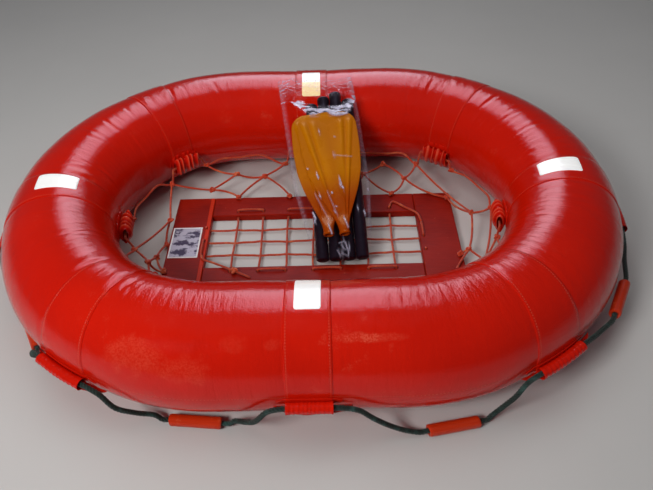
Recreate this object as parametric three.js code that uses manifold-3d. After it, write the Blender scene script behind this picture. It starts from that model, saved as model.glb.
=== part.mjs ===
import * as THREE from "three";
import { mergeVertices } from "three/addons/utils/BufferGeometryUtils.js";
import Module from "manifold-3d";

// A small life float: a canvas-covered buoyant ring in the shape of a running track, with a
// rope-laced platform hung inside it on a net, a lifeline with sleeve floats around the outside,
// reflective patches on top, and a pair of paddles packed in a clear film bag.
// Millimetres. The origin is the ring's middle on the ground, +X runs along its length and +Z up.

const wasm = await Module();
wasm.setup();

// Driving dimensions
const HALF_STRAIGHT = 182; // half of each straight side
const TURN = 416; // radius of the end turns, on the ring's centreline
const TUBE = 125; // radius of the buoyant tube
const BAND_HEIGHT = 2; // outer face of the wrap bands above the tube
const BAND_WIDTH = 88;
const GAP = 0.4; // between pieces that touch
const TUBE_SIDES = 24;
const CENTRE_Z = TUBE + BAND_HEIGHT;
const BAND_FACE = TUBE + BAND_HEIGHT; // radius that beckets and patches lie on

const ROPE = 11; // lifeline's diameter
const NET_ROPE = 6;
const FLOAT = { length: 104, diameter: 25, bore: 12.4 };

const PLATFORM = { halfLength: 373, halfDepth: 172, board: 100, rail: 76, thick: 20 };
const LACING = { rope: 6, pitch: 68, cross: [48, 0, -48] };
const PLATE = { x: -330, y: -6, width: 76, depth: 112, thick: 1.2 };

// Colours
const CANVAS = 0xb81207;
const PATCH = 0xf2f2ee;
const LINE = 0x16241c;
const ORANGE = 0xc9340c;
const BOARD = 0xb5200a;
const PLATE_GREY = 0xb9bec6;
const BLADE_COLOR = 0xdb8a0c;
const SHAFT_COLOR = 0x101523;
const FILM = 0xdfe6ea;

// Places around the ring, in millimetres along its centreline from the middle of the front,
// anticlockwise from above
const PERIMETER = 4 * HALF_STRAIGHT + 2 * Math.PI * TURN;
const STATIONS = [
  // name, along, straight
  ["front", 0, true],
  ["front_right", 424, false],
  ["right", 805, false],
  ["back_right", 1242, false],
  ["back", PERIMETER / 2, true],
  ["back_left", 2118, false],
  ["left", 2552, false],
  ["front_left", 2918, false],
];

const group = new THREE.Group();

/** Adds one named piece with its own material. */
function add(name, geometry, color, { roughness = 0.6, metalness = 0, parent = group } = {}) {
  const material = new THREE.MeshStandardMaterial({ color, roughness, metalness });
  const mesh = new THREE.Mesh(closed(geometry), material);
  mesh.name = name;
  parent.add(mesh);
  return mesh;
}

/** The geometry with its shared corners merged, so that it is one closed surface. */
function closed(geometry) {
  const bare = geometry.clone();
  for (const name of ["normal", "uv"]) bare.deleteAttribute(name);
  return mergeVertices(bare, 1e-4);
}

function solid(geometry) {
  const { attributes, index } = closed(geometry);
  const mesh = new wasm.Mesh({
    numProp: 3,
    vertProperties: Float32Array.from(attributes.position.array),
    triVerts: Uint32Array.from(index.array),
  });
  return new wasm.Manifold(mesh);
}

function geometryOf(manifold) {
  const mesh = manifold.getMesh();
  const geometry = new THREE.BufferGeometry();
  geometry.setAttribute("position", new THREE.BufferAttribute(mesh.vertProperties, 3));
  geometry.setIndex(new THREE.BufferAttribute(mesh.triVerts, 1));
  return geometry;
}

/** One body out of overlapping closed pieces. */
function joined(geometries) {
  return geometryOf(geometries.map(solid).reduce((whole, piece) => whole.add(piece)));
}

/** Points of an arc in degrees, both ends included. */
function arc(x, y, radius, from, to, steps) {
  return Array.from({ length: steps + 1 }, (_, i) => {
    const angle = THREE.MathUtils.degToRad(from + ((to - from) * i) / steps);
    return new THREE.Vector2(x + radius * Math.cos(angle), y + radius * Math.sin(angle));
  });
}

/** Point on the ring's centreline and the outward direction there. */
function centreline(along) {
  const s = THREE.MathUtils.euclideanModulo(along, PERIMETER);
  const turn = Math.PI * TURN;
  if (s < HALF_STRAIGHT) return { point: [s, -TURN], out: [0, -1] };
  if (s < HALF_STRAIGHT + turn) return onTurn(HALF_STRAIGHT, (s - HALF_STRAIGHT) / TURN - Math.PI / 2);
  if (s < 3 * HALF_STRAIGHT + turn) return { point: [2 * HALF_STRAIGHT + turn - s, TURN], out: [0, 1] };
  if (s < 3 * HALF_STRAIGHT + 2 * turn) {
    return onTurn(-HALF_STRAIGHT, (s - 3 * HALF_STRAIGHT - turn) / TURN + Math.PI / 2);
  }
  return { point: [s - PERIMETER, -TURN], out: [0, -1] };
}

function onTurn(x, angle) {
  const out = [Math.cos(angle), Math.sin(angle)];
  return { point: [x + TURN * out[0], TURN * out[1]], out };
}

/** A place by distance along the ring, distance outward from its centreline, and height. */
function place(along, outward, height) {
  const { point, out } = centreline(along);
  return new THREE.Vector3(point[0] + outward * out[0], point[1] + outward * out[1], height);
}

/** Extrudes a section (x outward, y up from the tube's centre) and bends it onto the ring. */
function aroundRing(section, along, width, steps) {
  const geometry = new THREE.ExtrudeGeometry(section, { depth: width, steps, bevelEnabled: false });
  const position = geometry.attributes.position;
  for (let i = 0; i < position.count; i++) {
    const at = place(along + width / 2 - position.getZ(i), position.getX(i), CENTRE_Z + position.getY(i));
    position.setXYZ(i, at.x, at.y, at.z);
  }
  return geometry;
}

function outline(points, hole) {
  const shape = new THREE.Shape(points);
  if (hole) shape.holes.push(new THREE.Path(hole));
  return shape;
}

/** A path that steps from point to point, so that bends can be fine and straights coarse. */
class Route extends THREE.Curve {
  constructor(points) {
    super();
    this.points = points;
  }
  getPoint(t, target = new THREE.Vector3()) {
    const at = t * (this.points.length - 1);
    const i = Math.min(Math.floor(at), this.points.length - 2);
    return target.lerpVectors(this.points[i], this.points[i + 1], at - i);
  }
  getPointAt(u, target) {
    return this.getPoint(u, target);
  }
  getTangentAt(u, target) {
    return this.getTangent(u, target);
  }
}

/** Round rope with one step from each point to the next. */
function rope(points, diameter, sides = 8) {
  const section = outline(arc(0, 0, diameter / 2, 0, 360 - 360 / sides, sides - 1));
  const extrudePath = new Route(points);
  return new THREE.ExtrudeGeometry(section, { extrudePath, steps: points.length - 1, bevelEnabled: false });
}

/** A smooth line through a few places. */
function smooth(points, steps) {
  return new THREE.CatmullRomCurve3(points, false, "centripetal").getSpacedPoints(steps);
}

/** The places joined by straight lines, with each corner rounded in two steps. */
function cornered(points, radius) {
  return points.flatMap((point, i) => {
    if (i === 0 || i === points.length - 1) return [point];
    const before = points[i - 1].clone().sub(point).setLength(radius).add(point);
    const after = points[i + 1].clone().sub(point).setLength(radius).add(point);
    return new THREE.QuadraticBezierCurve3(before, point, after).getPoints(2);
  });
}

// Buoyant ring: its cross-sections stand at the edges and middle of each band, and evenly in between
const FILLS = 4;
const breaks = STATIONS.flatMap(([, along], i) => {
  const next = i + 1 < STATIONS.length ? STATIONS[i + 1][1] : PERIMETER;
  const from = along + BAND_WIDTH / 2;
  const step = (next - BAND_WIDTH / 2 - from) / (FILLS + 1);
  const between = Array.from({ length: FILLS }, (_, k) => from + (k + 1) * step);
  return [along - BAND_WIDTH / 2, along, from, ...between];
});
const ring = new THREE.TorusGeometry(TURN, TUBE, TUBE_SIDES, breaks.length);
for (let j = 0, v = 0; j <= TUBE_SIDES; j++) {
  const angle = (2 * Math.PI * j) / TUBE_SIDES;
  for (let i = 0; i <= breaks.length; i++, v++) {
    const at = place(breaks[i % breaks.length], TUBE * Math.cos(angle), CENTRE_Z + TUBE * Math.sin(angle));
    ring.attributes.position.setXYZ(v, at.x, at.y, at.z);
  }
}
add("buoyant_ring", ring, CANVAS, { roughness: 0.35 });

// Wrap bands around the tube
const hoop = (radius) => arc(0, 0, radius, 0, 360 - 360 / TUBE_SIDES, TUBE_SIDES - 1);
for (const [name, along, straight] of STATIONS) {
  const section = outline(hoop(BAND_FACE), hoop(TUBE + 0.3));
  const band = aroundRing(section, along, BAND_WIDTH, straight ? 1 : 2);
  add(`wrap_band_${name}`, band, CANVAS, { roughness: 0.35 });
}

// Beckets: a flange sewn to the band, with a tunnel that the rope runs through
const OUTER_BECKET = { angle: -4, tunnel: 11.5, bore: 7, flange: 22, width: 84 };
const INNER_BECKET = { angle: 190, tunnel: 14, bore: 4.2, flange: 27, width: 116 };

function becketSection({ angle, tunnel, bore, flange }) {
  const under = BAND_FACE + GAP;
  const over = under + 2;
  const spread = THREE.MathUtils.radToDeg(flange / under);
  const centre = under + tunnel;
  const foot = Math.acos((over ** 2 + centre ** 2 - tunnel ** 2) / (2 * over * centre));
  const footAngle = THREE.MathUtils.radToDeg(foot);
  const around = THREE.MathUtils.radToDeg(Math.atan2(over * Math.sin(foot), over * Math.cos(foot) - centre));
  const points = [
    ...arc(0, 0, under, -spread, spread, 4),
    ...arc(0, 0, over, spread, footAngle, 1),
    ...arc(centre, 0, tunnel, around, -around, 8).slice(1, -1),
    ...arc(0, 0, over, -footAngle, -spread, 1),
  ];
  const hole = arc(centre, 0, bore, 0, 315, 7);
  const degrees = THREE.MathUtils.degToRad(angle);
  const turned = (list) => list.map((p) => p.rotateAround(new THREE.Vector2(), degrees));
  return outline(turned(points), turned(hole));
}

for (const [name, along, straight] of STATIONS) {
  const steps = straight ? 1 : 2;
  for (const [side, becket] of [["outer", OUTER_BECKET], ["inner", INNER_BECKET]]) {
    add(`${side}_becket_${name}`, aroundRing(becketSection(becket), along, becket.width, steps), CANVAS);
  }
}

// Reflective patches on top, over the bands
const PATCHES = [
  // name, along, from angle, to angle
  ["front", 0, 82, 127],
  ["right", 815, 80, 123],
  ["back", PERIMETER / 2, 82, 125],
  ["left", 2541, 77, 119],
];
for (const [name, along, from, to] of PATCHES) {
  const under = BAND_FACE + 2 * GAP;
  const points = [...arc(0, 0, under, from, to, 6), ...arc(0, 0, under + 0.8, to, from, 6)];
  add(`reflective_patch_${name}`, aroundRing(outline(points), along, 50, 2), PATCH, { roughness: 0.4 });
}

// Lifeline: one bight of rope from each outer becket to the next, with a sleeve float on it
const BECKET_ROPE = becketRope(OUTER_BECKET);
function becketRope({ angle, tunnel }) {
  const radius = BAND_FACE + GAP + tunnel;
  const turn = THREE.MathUtils.degToRad(angle);
  return { outward: radius * Math.cos(turn), height: CENTRE_Z + radius * Math.sin(turn) };
}

const FLOAT_REST = FLOAT.diameter / 2;
const FLOAT_PLACES = {
  // share of the way from becket to becket, outward, height
  front: [0.628, 130, FLOAT_REST],
  front_right: [0.5, 146, 88],
  right: [0.5, 120, FLOAT_REST],
  back_right: [0.5, 120, FLOAT_REST],
  back: [0.5, 120, FLOAT_REST],
  back_left: [0.5, 120, FLOAT_REST],
  left: [0.5, 120, FLOAT_REST],
  front_left: [0.471, 102, FLOAT_REST],
};

/** Places on the rope between a becket and its float, as share of the way, outward, height. */
function slackOf(outward, height) {
  if (height > FLOAT_REST) return [[0.3, 141, 108], [0.55, 143, 96]];
  return [[0.26, 139, 108], [0.44, 140, 78], [0.62, (outward + 139) / 2, 42], [0.8, outward + 4, 22]];
}

for (const [i, [name, along]] of STATIONS.entries()) {
  const next = i + 1 < STATIONS.length ? STATIONS[i + 1][1] : PERIMETER;
  const from = along + OUTER_BECKET.width / 2;
  const to = next - OUTER_BECKET.width / 2;
  const [share, outward, height] = FLOAT_PLACES[name];
  const at = from + share * (to - from);
  const middle = place(at, outward, height);
  const way = place(at + 1, outward, height).sub(place(at - 1, outward, height)).normalize();
  const inFloat = [-16, -2, FLOAT.length / 2, FLOAT.length + 2, FLOAT.length + 16].map((d) =>
    middle.clone().addScaledVector(way, d - FLOAT.length / 2),
  );
  const shortened = (FLOAT.length / 2) * (TURN / (TURN + outward)); // half a float, along the centreline
  const slack = slackOf(outward, height);
  const points = [
    place(from - 20, BECKET_ROPE.outward, BECKET_ROPE.height),
    place(from - 4, BECKET_ROPE.outward, BECKET_ROPE.height),
    ...slack.map(([d, out, z]) => place(from + d * (at - shortened - from), out, z)),
    ...inFloat,
    ...slack.toReversed().map(([d, out, z]) => place(to - d * (to - at - shortened), out, z)),
    place(to + 4, BECKET_ROPE.outward, BECKET_ROPE.height),
    place(to + 20, BECKET_ROPE.outward, BECKET_ROPE.height),
  ];
  add(`lifeline_${name}`, rope(smooth(points, 18), ROPE), LINE, { roughness: 0.9 });

  const [r, bore, half, chamfer] = [FLOAT.diameter / 2, FLOAT.bore / 2, FLOAT.length / 2, 2];
  const profile = [
    [bore, -half], [r - chamfer, -half], [r, chamfer - half],
    [r, half - chamfer], [r - chamfer, half], [bore, half],
    [bore, -half],
  ].map(([x, y]) => new THREE.Vector2(x, y));
  const mesh = add(`line_float_${name}`, new THREE.LatheGeometry(profile, 12), ORANGE);
  mesh.position.copy(middle);
  mesh.quaternion.setFromUnitVectors(new THREE.Vector3(0, 1, 0), way);
}

// Platform: two end boards with two rails between them, on the ground inside the ring, each with a
// row of holes for the rope lacing: in at the edge and out through the top
const platform = new THREE.Group();
group.add(platform);
const v3 = (x, y, z) => new THREE.Vector3(x, y, z);
const openX = PLATFORM.halfLength - PLATFORM.board;
const openY = PLATFORM.halfDepth - PLATFORM.rail;
const HOLE = { radius: 4.6, inRail: 16, inBoard: 10 };
const laceZ = PLATFORM.thick / 2;
const laceTop = PLATFORM.thick + LACING.rope / 2 + 0.9;
const along7 = [-3, -2, -1, 0, 1, 2, 3].map((k) => k * LACING.pitch);

function plank(x, y, width, depth) {
  const chamfer = 2;
  const [w, d] = [width / 2 - chamfer, depth / 2 - chamfer];
  const shape = outline([[-w, -d], [w, -d], [w, d], [-w, d]].map(([u, v]) => new THREE.Vector2(u, v)));
  return new THREE.ExtrudeGeometry(shape, {
    depth: PLATFORM.thick - 2 * chamfer,
    bevelThickness: chamfer,
    bevelSize: chamfer,
    bevelSegments: 1,
  }).translate(x, y, chamfer);
}

/** Cuts the lacing's holes: upright ones at the given places, each met by one from the opening. */
function drilled(geometry, holes, inset) {
  const { radius } = HOLE;
  const cuts = holes.flatMap(({ x, y, toX, toY }) => {
    const upright = new THREE.CylinderGeometry(radius, radius, PLATFORM.thick + 2, 8).rotateX(Math.PI / 2);
    const level = new THREE.CylinderGeometry(radius, radius, inset + 1, 8);
    level.translate(0, (inset + 1) / 2, 0).rotateZ(Math.atan2(-toX, toY));
    return [upright.translate(x, y, laceZ), level.translate(x, y, laceZ)];
  });
  return geometryOf(cuts.map(solid).reduce((rest, cut) => rest.subtract(cut), solid(geometry)));
}

for (const [name, side] of [["left", -1], ["right", 1]]) {
  const board = plank(side * (openX + PLATFORM.board / 2), 0, PLATFORM.board, 2 * PLATFORM.halfDepth);
  const holes = LACING.cross.map((y) => ({ x: side * (openX + HOLE.inBoard), y, toX: -side, toY: 0 }));
  add(`end_board_${name}`, drilled(board, holes, HOLE.inBoard), BOARD, { parent: platform });
}
for (const [name, side] of [["front", -1], ["back", 1]]) {
  const rail = plank(0, side * (openY + PLATFORM.rail / 2), 2 * (openX - GAP), PLATFORM.rail);
  const holes = along7.map((x) => ({ x, y: side * (openY + HOLE.inRail), toX: 0, toY: -side }));
  add(`platform_rail_${name}`, drilled(rail, holes, HOLE.inRail), BOARD, { parent: platform });
}
const plate = new THREE.BoxGeometry(PLATE.width, PLATE.depth, PLATE.thick);
plate.translate(PLATE.x, PLATE.y, PLATFORM.thick + 0.3 + PLATE.thick / 2);
add("name_plate", plate, PLATE_GREY, { metalness: 0.6, roughness: 0.4, parent: platform });

// Lacing: one rope runs to and fro between the rails and another between the boards, and each comes
// up through a hole, over the wood and down the next hole
function serpentine(lines, endA, endB, startSide) {
  const points = [];
  lines.forEach((line, i) => {
    const first = (i % 2 === 0 ? startSide : -startSide) < 0 ? endA : endB;
    const last = first === endA ? endB : endA;
    points.push(first(line, laceTop), first(line, laceZ), last(line, laceZ), last(line, laceTop));
  });
  return points;
}
const railY = openY + HOLE.inRail;
const boardX = openX + HOLE.inBoard;
const lengthwiseLace = serpentine(along7, (x, z) => v3(x, -railY, z), (x, z) => v3(x, railY, z), -1);
const crosswiseLace = serpentine(LACING.cross, (y, z) => v3(-boardX, y, z), (y, z) => v3(boardX, y, z), -1);
const LACE_BEND = 6;
const laces = [lengthwiseLace, crosswiseLace].map((points) => rope(cornered(points, LACE_BEND), LACING.rope, 6));
add("platform_lacing", joined(laces), ORANGE, { parent: platform });

// Net: a head rope through the inner beckets, hitched at both mouths of each, and legs from knot to
// knot down to the platform's edges
const KNOT = 6.5;
const HEAD = becketRope(INNER_BECKET);
const HITCHES = [
  // name, then before and after the becket: along from its middle, outward, height
  ["front", [-82, -141, 78], [82, -141, 78]],
  ["front_right", [-82, -141, 78], [82, -141, 74]],
  ["right", [-80, -141, 78], [88, -141, 76]],
  ["back_right", [-80, -141, 80], [78, -147, 64]],
  ["back", [-80, -141, 78], [80, -150, 62]],
  ["back_left", [-80, -141, 78], [84, -138, 62]],
  ["left", [-80, -141, 80], [78, -152, 70]],
  ["front_left", [-82, -141, 78], [82, -141, 78]],
];
const NET_KNOTS = [
  // name, along, outward, height
  ["a1", 150, -184, 50], ["a2", 285, -184, 50], ["b1", 570, -178, 50], ["b2", 645, -156, 42],
  ["b3", 702, -200, 34], ["c1", 915, -184, 56], ["d1", 1354, -196, 45], ["d2", 1466, -168, 66],
  ["d3", 1530, -190, 50], ["e1", 1808, -183, 45], ["e2", 1911, -182, 56], ["e3", 2056, -200, 34],
  ["f1", 2388, -216, 45], ["p10", 2517, -218.1, 14], ["g1", 2642, -198, 34],
  ["g2", 2706, -174, 60], ["h1", 3060, -184, 50],
  ["h2", 3190, -184, 50],
];
const EDGE_KNOTS = [
  // name, x, y on top of the platform's edge
  ["p1", 90, -165], ["p2", 200, -165], ["p3", 330, -165],
  ["p4", 366, -75], ["p5", 364, 142], ["p6", 213, 165],
  ["p7", 90, 165], ["p8", -66, 165], ["p9", -206, 165], ["p11", -366, -112], ["p12", -200, -165],
  ["p13", -90, -165],
];
const NET_LEGS = [
  // from, to, sag
  ["front+", "a1", 6], ["a1", "a2", 8], ["a2", "front_right-", 6],
  ["a1", "p1", 4], ["a1", "p2", 4], ["a2", "p2", 5],
  ["a2", "p3", 4], ["front_right+", "b1", 7], ["b1", "b2", 5],
  ["b1", "p3", 4], ["b2", "b3", 3], ["b2", "right-", 6],
  ["b3", "p4", 2], ["b3", "p3", 6], ["b2", "right+", 3],
  ["right+", "c1", 5], ["c1", "b3", 7], ["c1", "back_right+", 10],
  ["c1", "p5", 6], ["back_right+", "d1", 6], ["d1", "d2", 0],
  ["d2", "d3", 4], ["d1", "p6", 3], ["d1", "p5", 7],
  ["d3", "p6", 5], ["d3", "p7", 4], ["d3", "back-", 6], ["back+", "e1", 5], ["e1", "e2", 9], ["e1", "p8", 3],
  ["e1", "p9", 5], ["e2", "e3", 3], ["e2", "back_left-", 8], ["e3", "p9", 0], ["e3", "back_left+", 4],
  ["back_left+", "f1", 6], ["f1", "p10", 3], ["f1", "left+", 4],
  ["g1", "p10", 2], ["g1", "p11", 3], ["g1", "g2", 2],
  ["left+", "g2", 6], ["g2", "front_left-", 12], ["g2", "p11", 5], ["front_left+", "h1", 7], ["h1", "h2", 8],
  ["h2", "front-", 6], ["h1", "p12", 4], ["h1", "p13", 4], ["h2", "p13", 5],
];
const HEAD_DIP = [
  // share of the way from becket to becket, height below the beckets' rope
  [0.33, 22], [0.5, 28], [0.67, 24],
];

const knots = new Map(
  NET_KNOTS.map(([name, along, outward, height]) => [name, place(along, outward, height)]),
);
for (const [name, x, y] of EDGE_KNOTS) knots.set(name, v3(x, y, PLATFORM.thick + GAP + KNOT));
for (const [i, [name, before, after]] of HITCHES.entries()) {
  for (const [sign, [along, outward, height]] of [["-", before], ["+", after]]) {
    knots.set(name + sign, place(STATIONS[i][1] + along, outward, height));
  }
}
const net = [...knots.values()].map(
  (at) => new THREE.OctahedronGeometry(KNOT, 0).translate(at.x, at.y, at.z),
);
for (const [i, [name, along]] of STATIONS.entries()) {
  const [nextName, next] = i + 1 < STATIONS.length ? STATIONS[i + 1] : [STATIONS[0][0], PERIMETER];
  const head = (s, dip = 0) => place(s, HEAD.outward + dip / 3, HEAD.height - dip);
  const [mouth, clear] = [INNER_BECKET.width / 2, INNER_BECKET.width / 2 + 6];
  const between = [
    head(along + clear),
    knots.get(`${name}+`),
    ...HEAD_DIP.map(([share, dip]) => head(along + share * (next - along), dip)),
    knots.get(`${nextName}-`),
    head(next - clear),
  ];
  const ends = [[-2, mouth].map((d) => head(along + d)), [mouth, -2].map((d) => head(next - d))];
  net.push(rope([...ends[0], ...smooth(between, 14), ...ends[1]], NET_ROPE, 5));
}
for (const [from, to, sag] of NET_LEGS) {
  const [start, end] = [knots.get(from), knots.get(to)];
  const middle = start.clone().lerp(end, 0.5);
  middle.z -= sag;
  net.push(rope([start, middle, end], NET_ROPE, 5));
}
add("platform_net", joined(net), ORANGE);

// Paddle pack: two blades with their shafts beneath them in a clear film bag, lying from the ring's
// back crest down to the platform's front rail
const PACK = { x: 58, lowY: -100, turn: 3.5, length: 540 };
const BAG = {
  thick: 60,
  film: 0.8,
  round: 8,
  // place along the pack, x at the left, x at the right; the low end is closed and the top open
  outline: [[0, -54, 88], [200, -96, 101], [PACK.length, -122, 84]],
};
const crest = BAND_FACE + 2 * GAP + 0.8 + 0.2; // clears the back patch
const lowZ = PLATFORM.thick + 0.6;
const reach = Math.hypot(TURN - PACK.lowY, CENTRE_Z - lowZ);
const slope = Math.asin(crest / reach) + Math.atan2(CENTRE_Z - lowZ, TURN - PACK.lowY);
const pack = new THREE.Group();
pack.position.set(PACK.x, PACK.lowY, lowZ);
pack.rotation.set(slope, 0, THREE.MathUtils.degToRad(PACK.turn), "ZXY");
group.add(pack);

// In the pack's own frame x runs across, y from the low end up to the crest, and z up from the film
function bagSolid(inset, extra) {
  const edge = BAG.round + inset;
  const rows = BAG.outline.map(([y, left, right], i) => {
    const past = i === 0 ? edge : i === BAG.outline.length - 1 ? extra : 0;
    return { y: y + past, left: left + edge, right: right - edge };
  });
  const shape = outline([
    ...rows.map(({ y, right }) => new THREE.Vector2(right, y)),
    ...rows.toReversed().map(({ y, left }) => new THREE.Vector2(left, y)),
  ]);
  return solid(new THREE.ExtrudeGeometry(shape, {
    depth: BAG.thick - 2 * edge,
    bevelThickness: BAG.round,
    bevelSize: BAG.round,
    bevelSegments: 2,
  }).translate(0, 0, edge));
}
const beyond = new THREE.BoxGeometry(600, 200, 200).translate(0, PACK.length + 100, 0);
const bag = bagSolid(0, 20).subtract(bagSolid(BAG.film, 60)).subtract(solid(beyond));
add("film_bag", geometryOf(bag), FILM, { roughness: 0.15, parent: pack });

// Half shafts side by side under the blades, which plug into the throats when a paddle is put together
const SHAFT = { radius: 16, from: 8, z: 17.2 };
const SHAFTS = [
  // name, x, far end along the pack
  ["left", -33.3, 446],
  ["left_inner", -0.7, 467],
  ["right_inner", 31.9, 480],
  ["right", 64.5, 456],
];
for (const [name, x, to] of SHAFTS) {
  const geometry = new THREE.CylinderGeometry(SHAFT.radius, SHAFT.radius, to - SHAFT.from, 16);
  geometry.translate(x, (to + SHAFT.from) / 2, SHAFT.z);
  add(`paddle_shaft_${name}`, geometry, SHAFT_COLOR, { parent: pack });
}

// Blades: a thin plate with fanned ribs, narrowing to a round throat
const BLADE = { plate: 5, rib: 3.2, halfWidth: 77, end: 408, corner: 40 };
const THROAT = { y: 62, z: 46, radius: 12, length: 66 };
const BLADE_SIDE = [
  // half width, place along the pack
  [12, 66], [14, 88], [21, 112], [36, 146], [54, 188], [68, 235], [75, 290],
];
const RIBS = [-2.5, -1.5, -0.5, 0.5, 1.5, 2.5];

function blade({ z, toThroat }) {
  const { halfWidth, end, corner } = BLADE;
  const side = [
    ...BLADE_SIDE.map(([x, y]) => new THREE.Vector2(x, y)),
    ...arc(halfWidth - corner, end - corner, corner, 0, 90, 4),
  ];
  const mirrored = side.map((p) => new THREE.Vector2(-p.x, p.y)).reverse();
  const flat = outline([...side, ...mirrored]);
  const plate = new THREE.ExtrudeGeometry(flat, { depth: BLADE.plate, bevelEnabled: false });
  const ribs = RIBS.map((k) => {
    const [low, high] = [new THREE.Vector2(6.5 * k, 122), new THREE.Vector2(24 * k, 376)];
    const way = high.clone().sub(low);
    const rib = new THREE.BoxGeometry(10, way.length(), 2 * BLADE.rib);
    rib.rotateZ(way.angle() - Math.PI / 2).translate((low.x + high.x) / 2, (low.y + high.y) / 2, BLADE.plate);
    return rib;
  });
  const throat = new THREE.CylinderGeometry(3, THROAT.radius, THROAT.length, 12);
  throat.translate(0, THROAT.length / 2, 0).rotateX(-toThroat).translate(0, THROAT.y, THROAT.z - z);
  return joined([plate, throat, ...ribs]).translate(0, 0, z);
}
const BLADES = [
  // name, x of its throat, degrees that it leans to the left, height of its plate
  ["lower", -15, -0.4, 33.7],
  ["upper", 24.5, 4.2, 42.4],
];
for (const [name, x, lean, z] of BLADES) {
  const geometry = blade({ z, toThroat: Math.atan2(THROAT.z - z - BLADE.plate / 2, 62) });
  geometry.translate(0, -THROAT.y, 0).rotateZ(THREE.MathUtils.degToRad(lean));
  geometry.translate(x, THROAT.y, 0);
  add(`paddle_blade_${name}`, geometry, BLADE_COLOR, { roughness: 0.35, parent: pack });
}

export default group;
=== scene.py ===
"""Looks of a small life float: a canvas-covered buoyant ring with wrap bands and rope beckets, a
lifeline with sleeve floats, a rope-laced platform hung on a net, and paddles in a clear film bag.

Metres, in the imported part's own frame: the origin is the ring's middle on the ground, +X runs along
its length and +Z up. Places on the ring are given as `along`, the distance round its centreline from
the middle of the front, anticlockwise from above, and `angle`, round the tube from outward to up.
"""

import math

import bmesh
import bpy
import numpy as np
from mathutils import Matrix, Vector


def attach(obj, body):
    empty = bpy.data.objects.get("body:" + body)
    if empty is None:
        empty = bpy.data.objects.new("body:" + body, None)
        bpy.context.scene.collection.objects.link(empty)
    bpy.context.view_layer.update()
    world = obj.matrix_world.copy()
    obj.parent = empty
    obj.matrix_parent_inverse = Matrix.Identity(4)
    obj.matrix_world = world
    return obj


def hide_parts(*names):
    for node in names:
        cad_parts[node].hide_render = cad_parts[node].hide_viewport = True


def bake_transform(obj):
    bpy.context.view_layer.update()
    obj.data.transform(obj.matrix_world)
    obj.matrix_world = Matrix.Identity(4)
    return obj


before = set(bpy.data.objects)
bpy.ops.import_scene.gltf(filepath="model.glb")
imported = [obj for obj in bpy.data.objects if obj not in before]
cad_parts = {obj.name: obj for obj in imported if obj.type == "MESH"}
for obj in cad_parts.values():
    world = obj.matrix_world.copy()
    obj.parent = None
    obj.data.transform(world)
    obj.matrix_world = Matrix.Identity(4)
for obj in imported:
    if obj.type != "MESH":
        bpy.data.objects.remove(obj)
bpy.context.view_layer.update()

# Driving dimensions, the same as the part's own
HALF_STRAIGHT = 0.182
TURN = 0.416
TUBE = 0.125
BAND_FACE = 0.127
CENTRE_Z = 0.127
GAP = 0.0004
PERIMETER = 4 * HALF_STRAIGHT + 2 * math.pi * TURN
BAND_WIDTH = 0.088
STATIONS = {
    # name: along
    "front": 0,
    "front_right": 0.424,
    "right": 0.805,
    "back_right": 1.242,
    "back": PERIMETER / 2,
    "back_left": 2.118,
    "left": 2.552,
    "front_left": 2.918,
}
NEXT = dict(zip(STATIONS, [*list(STATIONS.values())[1:], PERIMETER]))


# Camera: fitted to the ring's outline in the photograph's 653 x 490 frame

FOCAL_PIXELS = 620.09
PHOTO_WIDTH = 653
SENSOR_WIDTH = 36
CAMERA = {"place": (0.05042, -1.16199, 1.11762), "azimuth": 0.8585, "elevation": 44.03, "roll": -1.98}


def add_camera():
    """A camera whose back points the way that azimuth and elevation give, rolled about its own axis."""
    azimuth, elevation, roll = (math.radians(CAMERA[k]) for k in ("azimuth", "elevation", "roll"))
    back = np.array([
        math.sin(azimuth) * math.cos(elevation),
        -math.cos(azimuth) * math.cos(elevation),
        math.sin(elevation),
    ])
    level = np.array([math.cos(azimuth), math.sin(azimuth), 0])
    upright = np.cross(back, level)
    right = math.cos(roll) * level + math.sin(roll) * upright
    up = math.cos(roll) * upright - math.sin(roll) * level
    camera = bpy.data.objects.new("camera", bpy.data.cameras.new("camera"))
    camera.data.sensor_width = SENSOR_WIDTH
    camera.data.lens = FOCAL_PIXELS / PHOTO_WIDTH * SENSOR_WIDTH
    turned = Matrix(np.stack([right, up, back], 1)).to_4x4()
    camera.matrix_world = Matrix.Translation(CAMERA["place"]) @ turned
    bpy.context.scene.collection.objects.link(camera)
    bpy.context.scene.camera = camera


add_camera()


# Meshes

def smoothstep(low, high, x):
    """0 below low, 1 above high and a smooth turn between."""
    t = np.clip((x - low) / (high - low), 0, 1)
    return t * t * (3 - 2 * t)


def full_turn(count):
    """Evenly spaced angles of a full turn."""
    return np.linspace(0, 2 * math.pi, count, endpoint=False)


def linked(name, mesh):
    """A new object in the scene for a finished mesh."""
    piece = bpy.data.objects.new(name, mesh)
    bpy.context.scene.collection.objects.link(piece)
    return piece


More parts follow.
